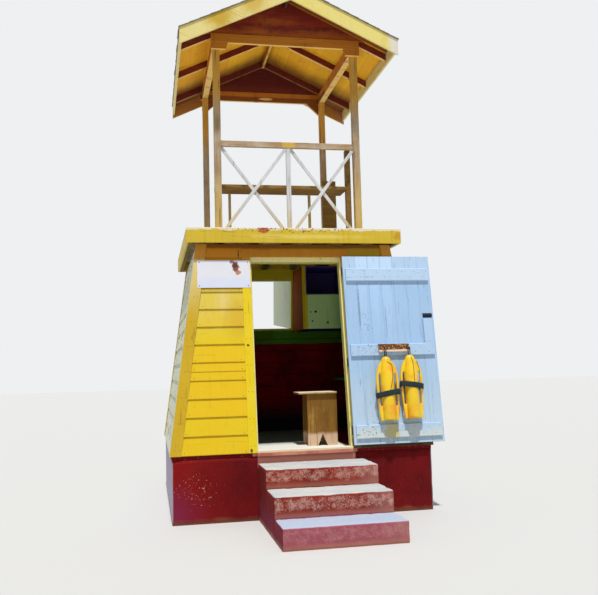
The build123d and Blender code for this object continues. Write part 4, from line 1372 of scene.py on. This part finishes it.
@dataclass
class ChippedBlock:
    """A block of render or concrete with rounded, chipped edges, inside a box of the frame."""

    node: str
    finish: str
    slot: str
    cell: float
    edge: float
    chip: float
    waviness: float
    seed: float
    square_top: bool = False
    merge: float = 0.0005
    chips: float = 7
    crumbs: float = 31
    waves: float = 11

    def build(self) -> None:
        """Makes the block and puts it in the node's place."""
        low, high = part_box(self.node)
        work = bmesh.new()
        self._shell(work, low, high)
        for vertex in work.verts:
            vertex.co = self._worn(vertex.co, low, high)
        bmesh.ops.recalc_face_normals(work, faces=work.faces)
        mesh = bpy.data.meshes.new(self.node + "_worn")
        work.to_mesh(mesh)
        work.free()
        for polygon in mesh.polygons:
            polygon.use_smooth = True
        enrol(self.node + "_worn", mesh, Body.TOWER, self.finish, (self.node,))

    def _shell(self, work: bmesh.types.BMesh, low: Vector, high: Vector) -> None:
        """Adds the box's six sides as grids of small faces."""
        for axis in range(3):
            first, second = (axis + 1) % 3, (axis + 2) % 3
            counts = [max(1, round((high[side] - low[side]) / self.cell)) for side in (first, second)]
            for level in (low[axis], high[axis]):
                rows = []
                for step in range(counts[0] + 1):
                    row = []
                    for part in range(counts[1] + 1):
                        place = Vector((0, 0, 0))
                        place[axis] = level
                        place[first] = low[first] + (high[first] - low[first]) * step / counts[0]
                        place[second] = low[second] + (high[second] - low[second]) * part / counts[1]
                        row.append(work.verts.new(place))
                    rows.append(row)
                for one, two in zip(rows, rows[1:]):
                    for a, b, c, d in zip(one, one[1:], two[1:], two):
                        work.faces.new((a, b, c, d))
        bmesh.ops.remove_doubles(work, verts=work.verts, dist=self.merge)

    def _worn(self, place: Vector, low: Vector, high: Vector) -> Vector:
        """Where a point of the box's surface ends up."""
        shift = Vector((self.seed, self.seed, self.seed))
        coarse = noise.noise(place * self.chips + shift)
        fine = noise.noise(place * self.crumbs + shift)
        radius = self.edge + self.chip * max(0.0, coarse + 0.35 * fine)
        core = Vector([min(max(place[axis], low[axis] + radius), high[axis] - radius) for axis in range(3)])
        if self.square_top:
            core.z = max(place.z, low.z + radius)
        away = place - core
        if away.length < 1e-7:
            return place
        inward = self.waviness * (0.5 + 0.5 * noise.noise(place * self.waves + shift) + 0.4 * fine)
        corner = sum(abs(part) > radius * 0.2 for part in away)
        reach = radius if corner > 1 else away.length
        worn = core + away.normalized() * max(0.0, reach - max(0.0, inward))
        if place.z <= low.z + 1e-6:
            worn.z = low.z
        return worn


class Trades:
    """The tower's faces and the node trees that its pieces share."""

    def __init__(self, frame: dict[str, Any]) -> None:
        """Works out the leaning faces from the frame.

        Args:
            frame: The loaded frame.
        """
        self.frame = frame
        self.slats = SlatTree()
        self.studs = StudTree()
        axis = frame["joints"][0]["axis"]
        self.lean = math.atan2(abs(axis[1]), abs(axis[2]))
        half_x, half_y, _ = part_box("floor_slab")[1]
        low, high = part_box("left_wall")
        self.base = low.z
        self.slope_height = (high.z - low.z) / math.cos(self.lean)
        out = math.cos(self.lean)
        self.front = self._face((0, -half_y), (1, 0), (0, -out), half_x)
        self.back = self._face((0, half_y), (-1, 0), (0, out), half_x)
        self.left = self._face((-half_x, 0), (0, -1), (-out, 0), half_y)
        self.right = self._face((half_x, 0), (0, 1), (out, 0), half_y)

    def _face(self, foot: Span, along: Span, outward: Span, half: float) -> LeaningFace:
        """One leaning face, from level places and directions."""
        normal = Vector((*outward, math.sin(self.lean)))
        return LeaningFace(Vector((*foot, self.base)), Vector((*along, 0)), normal, half, self.lean)

    def nail(
        self,
        name: str,
        places: Sequence[Sequence[float]],
        radius: float,
        face: LeaningFace,
        body: Body = Body.TOWER,
    ) -> None:
        """Makes a piece of the heads of the nails or screws on a face.

        Args:
            name: Of the piece.
            places: Where they are, in the face's own axes.
            radius: Of a head.
            face: The face that they are on.
            body: What they ride on.
        """
        heads = self.studs.drive(places, radius)
        heads.transform(face.matrix)
        enrol(name, heads, body)


@dataclass
class MasonryWork:
    """The plinth, the floor slab and the steps."""

    trades: Trades

    def build(self) -> None:
        """Puts worn blocks in the place of the plain ones."""
        for seed, name in enumerate(("step_top", "step_middle", "step_bottom")):
            ChippedBlock(
                name, "step_concrete", "step_concrete", cell=0.02, edge=0.016, chip=0.024, waviness=0.005,
                seed=3.7 * seed + 1,
            ).build()
        ChippedBlock(
            "plinth", "plinth_render", "masonry_red", cell=0.045, edge=0.012, chip=0.010, waviness=0.001,
            seed=20.0, square_top=True,
        ).build()
        dress(self.trades.frame, {"floor_slab": "slab_concrete"}, bevel=0.0012)


@dataclass
class Cladding:
    """Lapped boards on the cabin's four faces, with their nails."""

    trades: Trades
    exposure: float = BOARD_EXPOSURE
    lap: float = 0.022
    thickness: float = 0.011
    stand_off: float = 0.0045
    trim: float = 0.01
    corner: float = 0.095
    corner_margin: float = 0.03
    casing: float = 0.59
    head_top: float = 2.157
    split_course: int = 4
    nail_radius: float = 0.0038
    nail_rise: float = 0.026
    nail_inset: float = 0.035
    nail_margin: float = 0.02
    nail_bay: float = 0.42
    nail_depth: float = 0.98
    nail_play: Span = (0.006, 0.005)
    looseness: float = 0.0016

    def build(self) -> None:
        """Clads the four faces."""
        top = self.trades.slope_height
        front = self.trades.front
        for name, side, finish, slot, seed in (
            ("cladding_left_of_door", -1, "yellow_cladding", "front_boards", 11),
            ("cladding_right_of_door", 1, "olive_cladding", "front_boards", 12),
        ):
            span = (-front.half_width, -self.casing) if side < 0 else (self.casing, front.half_width)
            self._clad(name, front, span, (0.0, self.head_top), finish, seed)
        self._clad(
            "cladding_over_door", front, (-front.half_width, front.half_width), (self.head_top, top),
            "olive_cladding", 13,
        )
        for name, face, seed in (
            ("cladding_left_side", self.trades.left, 21),
            ("cladding_right_side", self.trades.right, 22),
        ):
            span = (-face.half_width, face.half_width)
            self._clad(name, face, span, (0.0, top), "side_cladding", seed)
        self._clad_back()

    def _clad_back(self) -> None:
        """Clads the back face round its window."""
        face = self.trades.back
        low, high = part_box("window_frame")
        cosine = math.cos(self.trades.lean)
        sill = (low.z - self.trades.base) / cosine
        head = (high.z - self.trades.base) / cosine
        top = self.trades.slope_height
        half = face.half_width
        stretches = (
            ("below_window", (low.x, high.x), (0.0, sill)),
            ("above_window", (low.x, high.x), (head, top)),
            ("beside_window_left", (-half, low.x), (0.0, top)),
            ("beside_window_right", (high.x, half), (0.0, top)),
        )
        for seed, (name, span, rise) in enumerate(stretches):
            self._clad("cladding_" + name, face, span, rise, "back_cladding", 31 + seed)

    def _courses(self, rise: Span, split: bool) -> list[Span]:
        """The lower and upper edges of the courses that reach into a rise."""
        courses = []
        low = 0.0
        number = 0
        while low < rise[1]:
            halved = split and number == self.split_course
            heights = (self.exposure / 2, self.exposure / 2) if halved else (self.exposure,)
            for height in heights:
                if low + height > rise[0]:
                    courses.append((low, low + height))
                low += height
            number += 1
        return courses

    def _clad(
        self, name: str, face: LeaningFace, span: Span, rise: Span, finish: str, seed: int
    ) -> None:
        """Makes the boards of one stretch of a face, trims them and nails them on.

        Args:
            name: Of the piece.
            face: The face that they are on.
            span: Their places along the face.
            rise: Their places up its slope.
            finish: Name of their finish.
            seed: Start of their random turns and tones.
        """
        rng = random.Random(seed)
        middle = (span[0] + span[1]) / 2
        length = span[1] - span[0] + 2 * self.trim
        slats = []
        nails = []
        for low, high in self._courses(rise, name == "cladding_left_of_door"):
            width = high - low + self.lap
            slats.append(Slat((middle, low + width / 2, self.stand_off), length, width))
            nails.extend(self._nails(face, span, low + self.nail_rise, rng))
        tilt = -math.asin(self.thickness / self.exposure)
        mesh = self.trades.slats.lay(slats, self.thickness, finish, seed, tilt, self.looseness)
        trimmed(mesh, self._cuts(face, span, rise))
        mesh.transform(face.matrix)
        enrol(name, mesh, Body.TOWER)
        nails = [nail for nail in nails if rise[0] < nail[1] < rise[1] - self.nail_margin]
        if nails:
            self.trades.nail("nails_" + name, nails, self.nail_radius, face)

    def _nails(self, face: LeaningFace, span: Span, up: float, rng: random.Random) -> list[tuple[float, ...]]:
        """Nails near the lower edge of a course: one at each end and some between."""
        inner = face.edge(up) - self.corner - self.corner_margin
        low, high = max(span[0] + self.nail_inset, -inner), min(span[1] - self.nail_inset, inner)
        bays = max(1, round((high - low) / self.nail_bay))
        depth = self.stand_off + self.thickness * self.nail_depth
        aside, above = self.nail_play
        places = []
        for bay in range(bays + 1):
            across = low + (high - low) * bay / bays + rng.uniform(-aside, aside)
            places.append((across, up + rng.uniform(-above, above), depth))
        return places

    def _cuts(self, face: LeaningFace, span: Span, rise: Span) -> list[tuple[Vector, Vector]]:
        """The planes that a stretch is trimmed to: corner boards, casing, sill and top."""
        inward, level = math.cos(self.trades.lean), math.sin(self.trades.lean)
        cuts = [
            (Vector((0, rise[0], 0)), Vector((0, -1, 0))),
            (Vector((0, rise[1], 0)), Vector((0, 1, 0))),
            (Vector((span[0], 0, 0)), Vector((-1, 0, 0))),
            (Vector((span[1], 0, 0)), Vector((1, 0, 0))),
        ]
        for side in (-1, 1):
            point = Vector((side * (face.half_width - self.corner), 0, 0))
            cuts.append((point, Vector((side * inward, level, 0)).normalized()))
        return cuts


@dataclass
class Cabin:
    """The cabin's carpentry that the frame already has in the right shape."""

    trades: Trades
    screw_inset: float = 0.022
    screw_radius: float = 0.0065
    nail_radius: float = 0.0038
    trim_depth: float = 0.0205
    corner_rows: int = 9
    corner_margin: float = 0.06
    corner_insets: Span = (0.03, 0.07)
    casing_rows: int = 8
    casing_rise: Span = (0.07, 2.0)
    casing_places: Span = (0.525, 0.567)

    def build(self) -> None:
        """Finishes the walls, the trim and the fittings."""
        frame = self.trades.frame
        dress(
            frame,
            {
                "front_wall_left": "room_front",
                "front_wall_right": "room_front",
                "front_wall_header": "room_front",
                "left_wall": "room_side",
                "right_wall": "room_side",
                "back_wall_below_window": "room_front",
                "back_wall_above_window": "room_front",
                "back_wall_sides": "room_front",
            },
            bevel=0.0,
        )
        dress(
            frame,
            {
                "corner_boards": "corner_trim",
                "door_jambs": "jamb_paint",
                "door_head": "jamb_paint",
                "door_casing_sides": "casing_trim",
                "door_head_board": "head_trim",
                "window_frame": "window_paint",
                "window_shutter": "shutter_paint",
                "wall_cabinet": "cabinet_side_paint",
                "cabinet_front": "cabinet_paint",
                "side_shelves": "shelf_paint",
                "stool_top": "stool_timber",
                "stool_frame": "stool_timber",
            },
        )
        dress(frame, {"sign_plate": "sign_plate", "hinge_plates": "hinge_steel"}, bevel=0.0006)
        self._sign_screws()
        self._trim_nails()

    def _sign_screws(self) -> None:
        """Adds a screw near each corner of the sign plate."""
        face = self.trades.front
        low, high = face.box(self.trades.frame["nodes"]["sign_plate"].data)
        inset = self.screw_inset
        places = [
            (across, up, high.z)
            for across in (low.x + inset, high.x - inset)
            for up in (low.y + inset, high.y - inset)
        ]
        self.trades.nail("sign_screws", places, self.screw_radius, face)

    def _trim_nails(self) -> None:
        """Nails the corner boards and the door casing on."""
        face = self.trades.front
        depth = self.trim_depth
        top = self.trades.slope_height - self.corner_margin
        places = []
        for up in self._levels(self.corner_rows, self.corner_margin, top):
            for side in (-1, 1):
                places.extend((side * (face.edge(up) - inset), up, depth) for inset in self.corner_insets)
        for up in self._levels(self.casing_rows, *self.casing_rise):
            for side in (-1, 1):
                places.extend((side * across, up, depth) for across in self.casing_places)
        self.trades.nail("trim_nails", places, self.nail_radius, face)

    @staticmethod
    def _levels(count: int, low: float, high: float) -> list[float]:
        """Places evenly spaced from low to high."""
        return [low + (high - low) * step / (count - 1) for step in range(count)]


@dataclass
class DoorWork:
    """The plank door, its ironwork and the rescue gear that hangs on it."""

    trades: Trades
    planks: int = 7
    # The foot and the height of each ledge, up the slope of the front.
    ledges: tuple[Span, ...] = ((0.088, 0.142), (0.951, 0.130), (1.777, 0.141))
    # Share of a ledge's height and shift from a plank's middle, for each row of nails.
    nail_rows: tuple[Span, ...] = ((0.27, -0.028), (0.73, 0.028))
    nail_radius: float = 0.0038
    nail_play: Span = (0.008, 0.006)
    cord_radius: float = 0.0026
    cord_step: float = 0.012
    cord_rise: float = 0.6
    in_front: float = -3.0
    probe: float = 2.0
    cords: tuple[tuple[Span, ...], ...] = (
        ((0.880, 1.560), (0.942, 1.524), (0.933, 1.398), (0.884, 1.236)),
        ((1.149, 1.614), (1.167, 1.550), (1.161, 1.319)),
        ((1.222, 1.560), (1.245, 1.480), (1.245, 1.337)),
    )

    def build(self) -> None:
        """Finishes the door and nails its planks to the ledges."""
        frame = self.trades.frame
        dress(frame, {"door_leaf": "door_planks", "door_ledges": "door_battens"}, bevel=0.0022)
        dress(frame, {"door_straps": "hinge_steel", "door_bolt": "bolt_steel"}, bevel=0.0006)
        dress(frame, {"can_rack": "rack_timber"}, bevel=0.003)
        dress(frame, {"can_straps": "strap_webbing"}, bevel=0.0008)
        dress(frame, {"rescue_cans": "can_plastic"}, bevel=0.005)
        for polygon in frame["nodes"]["rescue_cans"].data.polygons:
            polygon.use_smooth = True
        self._nails()
        self._lash()

    def _lash(self) -> None:
        """Draws thin cords taut over the cans, down to their straps."""
        cans = self.trades.frame["nodes"]["rescue_cans"].data
        surface = BVHTree.FromPolygons(
            [vertex.co for vertex in cans.vertices], [tuple(polygon.vertices) for polygon in cans.polygons]
        )
        curve = bpy.data.curves.new("cords", "CURVE")
        curve.dimensions = "3D"
        curve.bevel_depth = self.cord_radius
        curve.bevel_resolution = 2
        curve.use_fill_caps = True
        for cord in self.cords:
            laid = [self._on_can(surface, *spot) for spot in self._steps(cord)]
            places = [place for place in laid if place]
            spline = curve.splines.new("POLY")
            spline.points.add(len(places) - 1)
            for point, place in zip(spline.points, places):
                point.co = (*place, 1)
        enrol("can_lashings", evaluated(curve), Body.DOOR, "strap_webbing")

    def _steps(self, cord: Sequence[Span]) -> list[Span]:
        """Places along a cord, as seen from the front, about a step apart."""
        places = [cord[0]]
        for start, end in zip(cord, cord[1:]):
            count = max(1, round(math.dist(start, end) / self.cord_step))
            places.extend(
                tuple(low + (high - low) * part / count for low, high in zip(start, end))
                for part in range(1, count + 1)
            )
        return places

    def _on_can(self, surface: BVHTree, across: float, up: float) -> Vector | None:
        """Where a cord lies on the cans, or None beside them."""
        start = Vector((across, self.in_front, up))
        hit, normal, _, _ = surface.ray_cast(start, Vector((0, 1, 0)), self.probe)
        return None if hit is None else hit + normal * self.cord_radius * self.cord_rise

    def _nails(self) -> None:
        """Two rows of nail heads across each ledge."""
        face = self.trades.front
        nodes = self.trades.frame["nodes"]
        outer = face.box(nodes["door_ledges"].data)[1].z
        low, high = face.box(nodes["door_leaf"].data)
        rng = random.Random(5)
        aside, above = self.nail_play
        places = []
        for foot, tall in self.ledges:
            for plank in range(self.planks):
                middle = low.x + (high.x - low.x) * (plank + 0.5) / self.planks
                for share, shift in self.nail_rows:
                    across = middle + shift + rng.uniform(-aside, aside)
                    up = foot + tall * share + rng.uniform(-above, above)
                    places.append((across, up, outer))
        self.trades.nail("door_nails", places, self.nail_radius, face, Body.DOOR)


@dataclass
class DeckWork:
    """The lookout deck's planks, its fascia and the carpentry that stands on it."""

    trades: Trades
    plank: float = 0.118
    gap: float = 0.006
    clearance: float = 0.001
    looseness: float = 0.0008

    def build(self) -> None:
        """Lays the planks and finishes the rest."""
        frame = self.trades.frame
        self._planks()
        dress(
            frame,
            {
                "deck_fascias_long": "fascia_trim",
                "deck_fascias_short": "fascia_side_trim",
                "deck_joists": "joist_timber",
                "posts": "post_timber",
                "post_feet": "post_timber",
                "front_top_rail": "rail_timber",
                "front_baluster": "brace_timber",
                "front_braces_rising": "brace_timber",
                "front_braces_falling": "brace_timber",
                "bench_seat": "bench_timber",
                "bench_supports": "post_timber",
                "short_posts": "bench_timber",
            },
            bevel=0.0035,
        )

    def _planks(self) -> None:
        """Lays the deck's planks from side to side."""
        low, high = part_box("deck_boards")
        count = round((high.y - low.y) / (self.plank + self.gap))
        pitch = (high.y - low.y) / count
        middle = (low + high) / 2
        length = high.x - low.x - self.clearance
        slats = [
            Slat((middle.x, low.y + pitch * (row + 0.5), middle.z), length, pitch - self.gap)
            for row in range(count)
        ]
        mesh = self.trades.slats.lay(slats, high.z - low.z, "deck_timber", 41, loose=self.looseness)
        trimmed(mesh, ())
        enrol("deck_planks", mesh, Body.TOWER, replaces=("deck_boards",))


@dataclass
class RoofWork:
    """The shelter's boards, shingles, gables and framing."""

    trades: Trades
    ridge_gap: float = 0.015
    lining_width: float = 0.142
    lining_thickness: float = 0.02
    lining_clearance: float = 0.001
    lining_joint: float = 0.0004
    lining_edge: float = 0.0025
    gable_course: float = 0.148
    gable_thickness: float = 0.018
    gable_joint: float = 0.0006
    gable_depth: float = 0.02
    shingle_exposure: float = 0.125
    shingle_length: float = 0.19
    shingle_thickness: float = 0.009
    shingle_widths: Span = (0.075, 0.16)
    shingle_drops: Span = (-0.008, 0.003)
    shingle_joint: float = 0.004
    shingle_sink: float = 0.002
    shingle_tilt: float = 0.6
    shingle_looseness: float = 0.009
    shingle_lift: float = -0.0085
    least_shingle: float = 0.03
    least_course: float = 0.3
    felt_inset: float = 0.001
    felt_thickness: float = 0.003
    felt_lift: float = -0.0082
    cap_width: float = 0.125
    cap_thickness: float = 0.014
    cap_middle: float = 0.052
    cap_lift: float = -0.0045
    cap_edge: float = 0.0015

    def build(self) -> None:
        """Boards and shingles both slopes and finishes the framing."""
        self._lining()
        self._gables()
        self._shingles()
        dress(
            self.trades.frame,
            {
                "side_plates": "roof_framing",
                "tie_beams": "roof_framing",
                "tie_brackets": "roof_framing",
                "ridge_board": "roof_framing",
                "rafters": "rafter_timber",
                "barge_boards_left": "barge_left",
                "barge_boards_right": "barge_right",
                "eave_fascias": "eave_trim",
            },
            bevel=0.003,
        )

    def _slope(self, side: int, node: str, lift: float) -> Matrix:
        """Axes of one slope: x along the ridge, y down the slope from the ridge line and z square out of it.

        Args:
            side: -1 for the left slope and 1 for the right one.
            node: The roof layer that it lies on.
            lift: How far above that layer's top the axes lie.

        Returns:
            The matrix to the tower's frame.
        """
        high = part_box(node)[1]
        down = Vector((side * math.cos(ROOF_PITCH), 0, -math.sin(ROOF_PITCH)))
        out = Vector((side * math.sin(ROOF_PITCH), 0, math.cos(ROOF_PITCH)))
        along = down.cross(out)
        matrix = Matrix((along, down, out)).transposed().to_4x4()
        foot = Vector((side * self.ridge_gap, 0, high.z - self.ridge_gap * math.tan(ROOF_PITCH)))
        matrix.translation = foot + out * lift
        return matrix

    def _lining(self) -> None:
        """The boards under the shingles, which show from below between the rafters."""
        low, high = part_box("roof_boards")
        reach = (high.x - self.ridge_gap) / math.cos(ROOF_PITCH)
        count = round(reach / self.lining_width)
        pitch = reach / count
        length = high.y - low.y - self.lining_clearance
        meshes = []
        for side in (-1, 1):
            slats = [
                Slat((0, pitch * (row + 0.5), -self.lining_thickness / 2), length, pitch - self.lining_joint)
                for row in range(count)
            ]
            mesh = self.trades.slats.lay(slats, self.lining_thickness, "roof_lining", 50 + side, loose=0.0)
            trimmed(mesh, (), self.lining_edge)
            mesh.transform(self._slope(side, "roof_boards", 0.0))
            meshes.append(mesh)
        enrol("roof_lining_boards", joined(meshes), Body.TOWER, replaces=("roof_boards",))

    def _gables(self) -> None:
        """Level boards in both gables, trimmed to the slopes."""
        low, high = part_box("gable_boards")
        foot, peak = low.z, high.z
        length = 2 * (peak - foot) / math.tan(ROOF_PITCH)
        course = self.gable_course
        slats = [
            Slat((0, foot + course * (row + 0.5), 0), length, course - self.gable_joint)
            for row in range(math.ceil((peak - foot) / course))
        ]
        cuts = [
            (Vector((0, peak, 0)), Vector((math.sin(ROOF_PITCH), math.cos(ROOF_PITCH), 0))),
            (Vector((0, peak, 0)), Vector((-math.sin(ROOF_PITCH), math.cos(ROOF_PITCH), 0))),
            (Vector((0, foot, 0)), Vector((0, -1, 0))),
        ]
        meshes = []
        for side, wall in ((-1, low.y), (1, high.y - self.gable_depth)):
            mesh = self.trades.slats.lay(slats, self.gable_thickness, "gable_boarding", 60 + side, loose=0.0)
            trimmed(mesh, cuts)
            middle = wall + self.gable_depth / 2
            mesh.transform(Matrix(((1, 0, 0, 0), (0, 0, -1, middle), (0, 1, 0, 0), (0, 0, 0, 1))))
            meshes.append(mesh)
        enrol("gable_boarding", joined(meshes), Body.TOWER, replaces=("gable_boards",))

    def _shingles(self) -> None:
        """Courses of split shingles on felt, and a cap of two boards that meet over the ridge."""
        low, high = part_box("roof_covering")
        reach = (high.x - self.ridge_gap) / math.cos(ROOF_PITCH)
        tilt = math.asin(self.shingle_thickness / self.shingle_exposure) * self.shingle_tilt
        rng = random.Random(71)
        meshes = []
        for side in (-1, 1):
            mesh = self.trades.slats.lay(
                self._courses(low.y, high.y, reach, rng), self.shingle_thickness, "shingle_timber",
                70 + side, tilt, self.shingle_looseness,
            )
            trimmed(mesh, [(Vector((0, 0, 0)), Vector((0, -1, 0)))], bevel=0.0)
            mesh.transform(self._slope(side, "roof_covering", self.shingle_lift))
            meshes.append(mesh)
            place = (low.y + self.felt_inset, high.y - self.felt_inset, reach / 2)
            size = (reach - 2 * self.felt_inset, self.felt_thickness)
            meshes.append(self._sheet(side, place, size, self.felt_lift, 90, 0.0))
        for side in (-1, 1):
            place = (low.y, high.y, self.cap_middle)
            size = (self.cap_width, self.cap_thickness)
            meshes.append(self._sheet(side, place, size, self.cap_lift, 80, self.cap_edge))
        enrol("shingles", joined(meshes), Body.TOWER, replaces=("roof_covering",))

    def _courses(self, start: float, end: float, reach: float, rng: random.Random) -> list[Slat]:
        """The shingles of one slope.

        Args:
            start: Where the courses start along the ridge.
            end: Where they end.
            reach: How far the slope runs down from the ridge.
            rng: Draws their widths and how far each has slipped.

        Returns:
            A slat for each shingle, from the eaves upwards.
        """
        slats = []
        for row in range(math.ceil(reach / self.shingle_exposure)):
            middle = reach - self.shingle_exposure * row - self.shingle_length / 2
            if middle < self.shingle_length * self.least_course:
                break
            place = start
            while place < end - self.least_shingle:
                width = min(rng.uniform(*self.shingle_widths), end - place)
                if end - place - width < self.least_shingle:
                    width = end - place
                up = middle + rng.uniform(*self.shingle_drops)
                centre = (place + width / 2, up, self.shingle_thickness / 2 - self.shingle_sink)
                slats.append(Slat(centre, width - self.shingle_joint, self.shingle_length))
                place += width
        return slats

    def _sheet(
        self, side: int, place: tuple[float, float, float], size: Span, lift: float, seed: int, bevel: float
    ) -> bpy.types.Mesh:
        """One sheet or board along the whole of a slope.

        Args:
            side: -1 for the left slope and 1 for the right one.
            place: Its two ends along the ridge, and its middle down the slope.
            size: Its width down the slope and its thickness.
            lift: How far its middle lies above the covering's top.
            seed: Start of its tone.
            bevel: Width of its eased edges.

        Returns:
            Its mesh, in the tower's frame.
        """
        start, end, middle = place
        slat = Slat(((start + end) / 2, middle, 0.0), end - start, size[0])
        mesh = self.trades.slats.lay([slat], size[1], "shingle_timber", seed + side, loose=0.0)
        trimmed(mesh, (), bevel)
        mesh.transform(self._slope(side, "roof_covering", lift))
        return mesh


@dataclass
class Studio:
    """Camera, lights and floor. The camera stands where the photograph was taken from."""

    eye: tuple[float, float, float] = (-1.56407, -9.21503, 1.51232)
    yaw: float = 0.19423
    pitch: float = 0.09258
    roll: float = -0.027
    focal_pixels: float = 765.68
    picture_width: int = 598
    sensor: float = 36.0
    sight: float = 200
    world_strength: float = 0.36
    light_colour: Colour = (255, 255, 255)
    sky_colour: Colour = (238, 240, 242)
    sun_strength: float = 3.4
    sun_angle: float = 2.5
    sun_elevation: float = 70.0
    sun_azimuth: float = 5.0
    floor_colour: Colour = (202, 202, 200)
    floor_roughness: float = 0.9
    floor_reach: float = 60.0

    def build(self) -> None:
        """Sets the stage."""
        self._camera()
        self._lights()
        self._floor()
        bpy.context.scene.view_settings.view_transform = "Standard"

    def _camera(self) -> None:
        """Places the camera from its yaw, pitch and roll."""
        forward = Vector((math.sin(self.yaw), math.cos(self.yaw), 0))
        right = Vector((math.cos(self.yaw), -math.sin(self.yaw), 0))
        up = Vector((0, 0, 1))
        ahead = math.cos(self.pitch) * forward + math.sin(self.pitch) * up
        above = -math.sin(self.pitch) * forward + math.cos(self.pitch) * up
        side = math.cos(self.roll) * right + math.sin(self.roll) * above
        top = -math.sin(self.roll) * right + math.cos(self.roll) * above
        camera = bpy.data.cameras.new("camera")
        camera.sensor_width = self.sensor
        camera.lens = self.focal_pixels * self.sensor / self.picture_width
        camera.clip_end = self.sight
        holder = bpy.data.objects.new("camera", camera)
        matrix = Matrix((side, top, -ahead)).transposed().to_4x4()
        matrix.translation = Vector(self.eye)
        holder.matrix_world = matrix
        bpy.context.scene.collection.objects.link(holder)
        bpy.context.scene.camera = holder

    def _lights(self) -> None:
        """A high sun, and an even sky that shows pale behind the tower and in what shines."""
        sun = bpy.data.lights.new("sun", "SUN")
        sun.energy = self.sun_strength
        sun.angle = math.radians(self.sun_angle)
        holder = bpy.data.objects.new("sun", sun)
        turn, lift = math.radians(self.sun_azimuth), math.radians(self.sun_elevation)
        towards = Vector((-math.sin(turn) * math.cos(lift), -math.cos(turn) * math.cos(lift), math.sin(lift)))
        holder.rotation_mode = "QUATERNION"
        holder.rotation_quaternion = towards.to_track_quat("Z", "Y")
        bpy.context.scene.collection.objects.link(holder)
        world = bpy.data.worlds.new("sky")
        bpy.context.scene.world = world
        world.use_nodes = True
        tree = Tree(world.node_tree)
        seen = tree.node("ShaderNodeLightPath", out="Is Camera Ray")
        for kind in ("Is Glossy Ray", "Is Transmission Ray"):
            seen = tree.maths("MAXIMUM", seen, tree.node("ShaderNodeLightPath", out=kind))
        light, shown = (
            tree.node("ShaderNodeBackground", values={"Color": colour, "Strength": strength})
            for colour, strength in ((self.light_colour, self.world_strength), (self.sky_colour, 1.0))
        )
        sky = tree.node("ShaderNodeMixShader", values={0: seen, 1: light, 2: shown})
        tree.node("ShaderNodeOutputWorld", values={"Surface": sky}, out=None)

    def _floor(self) -> None:
        """A wide pale floor."""
        reach = self.floor_reach
        mesh = bpy.data.meshes.new("floor")
        corners = [(-reach, -reach, 0), (reach, -reach, 0), (reach, reach, 0), (-reach, reach, 0)]
        mesh.from_pydata(corners, [], [(0, 1, 2, 3)])
        floor = bpy.data.objects.new("floor", mesh)
        bpy.context.scene.collection.objects.link(floor)
        finish = Graph("floor").surface(Base_Color=self.floor_colour, Roughness=self.floor_roughness)
        mesh.materials.append(finish)


def main() -> None:
    """Loads the frame, dresses it piece by piece and sets the stage."""
    logging.basicConfig(level=logging.INFO, format="%(name)s %(message)s")
    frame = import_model()
    trades = Trades(frame)
    for work in (
        MasonryWork(trades),
        Cladding(trades),
        Cabin(trades),
        DoorWork(trades),
        DeckWork(trades),
        RoofWork(trades),
        Studio(),
    ):
        work.build()


if __name__ == "__main__":
    main()
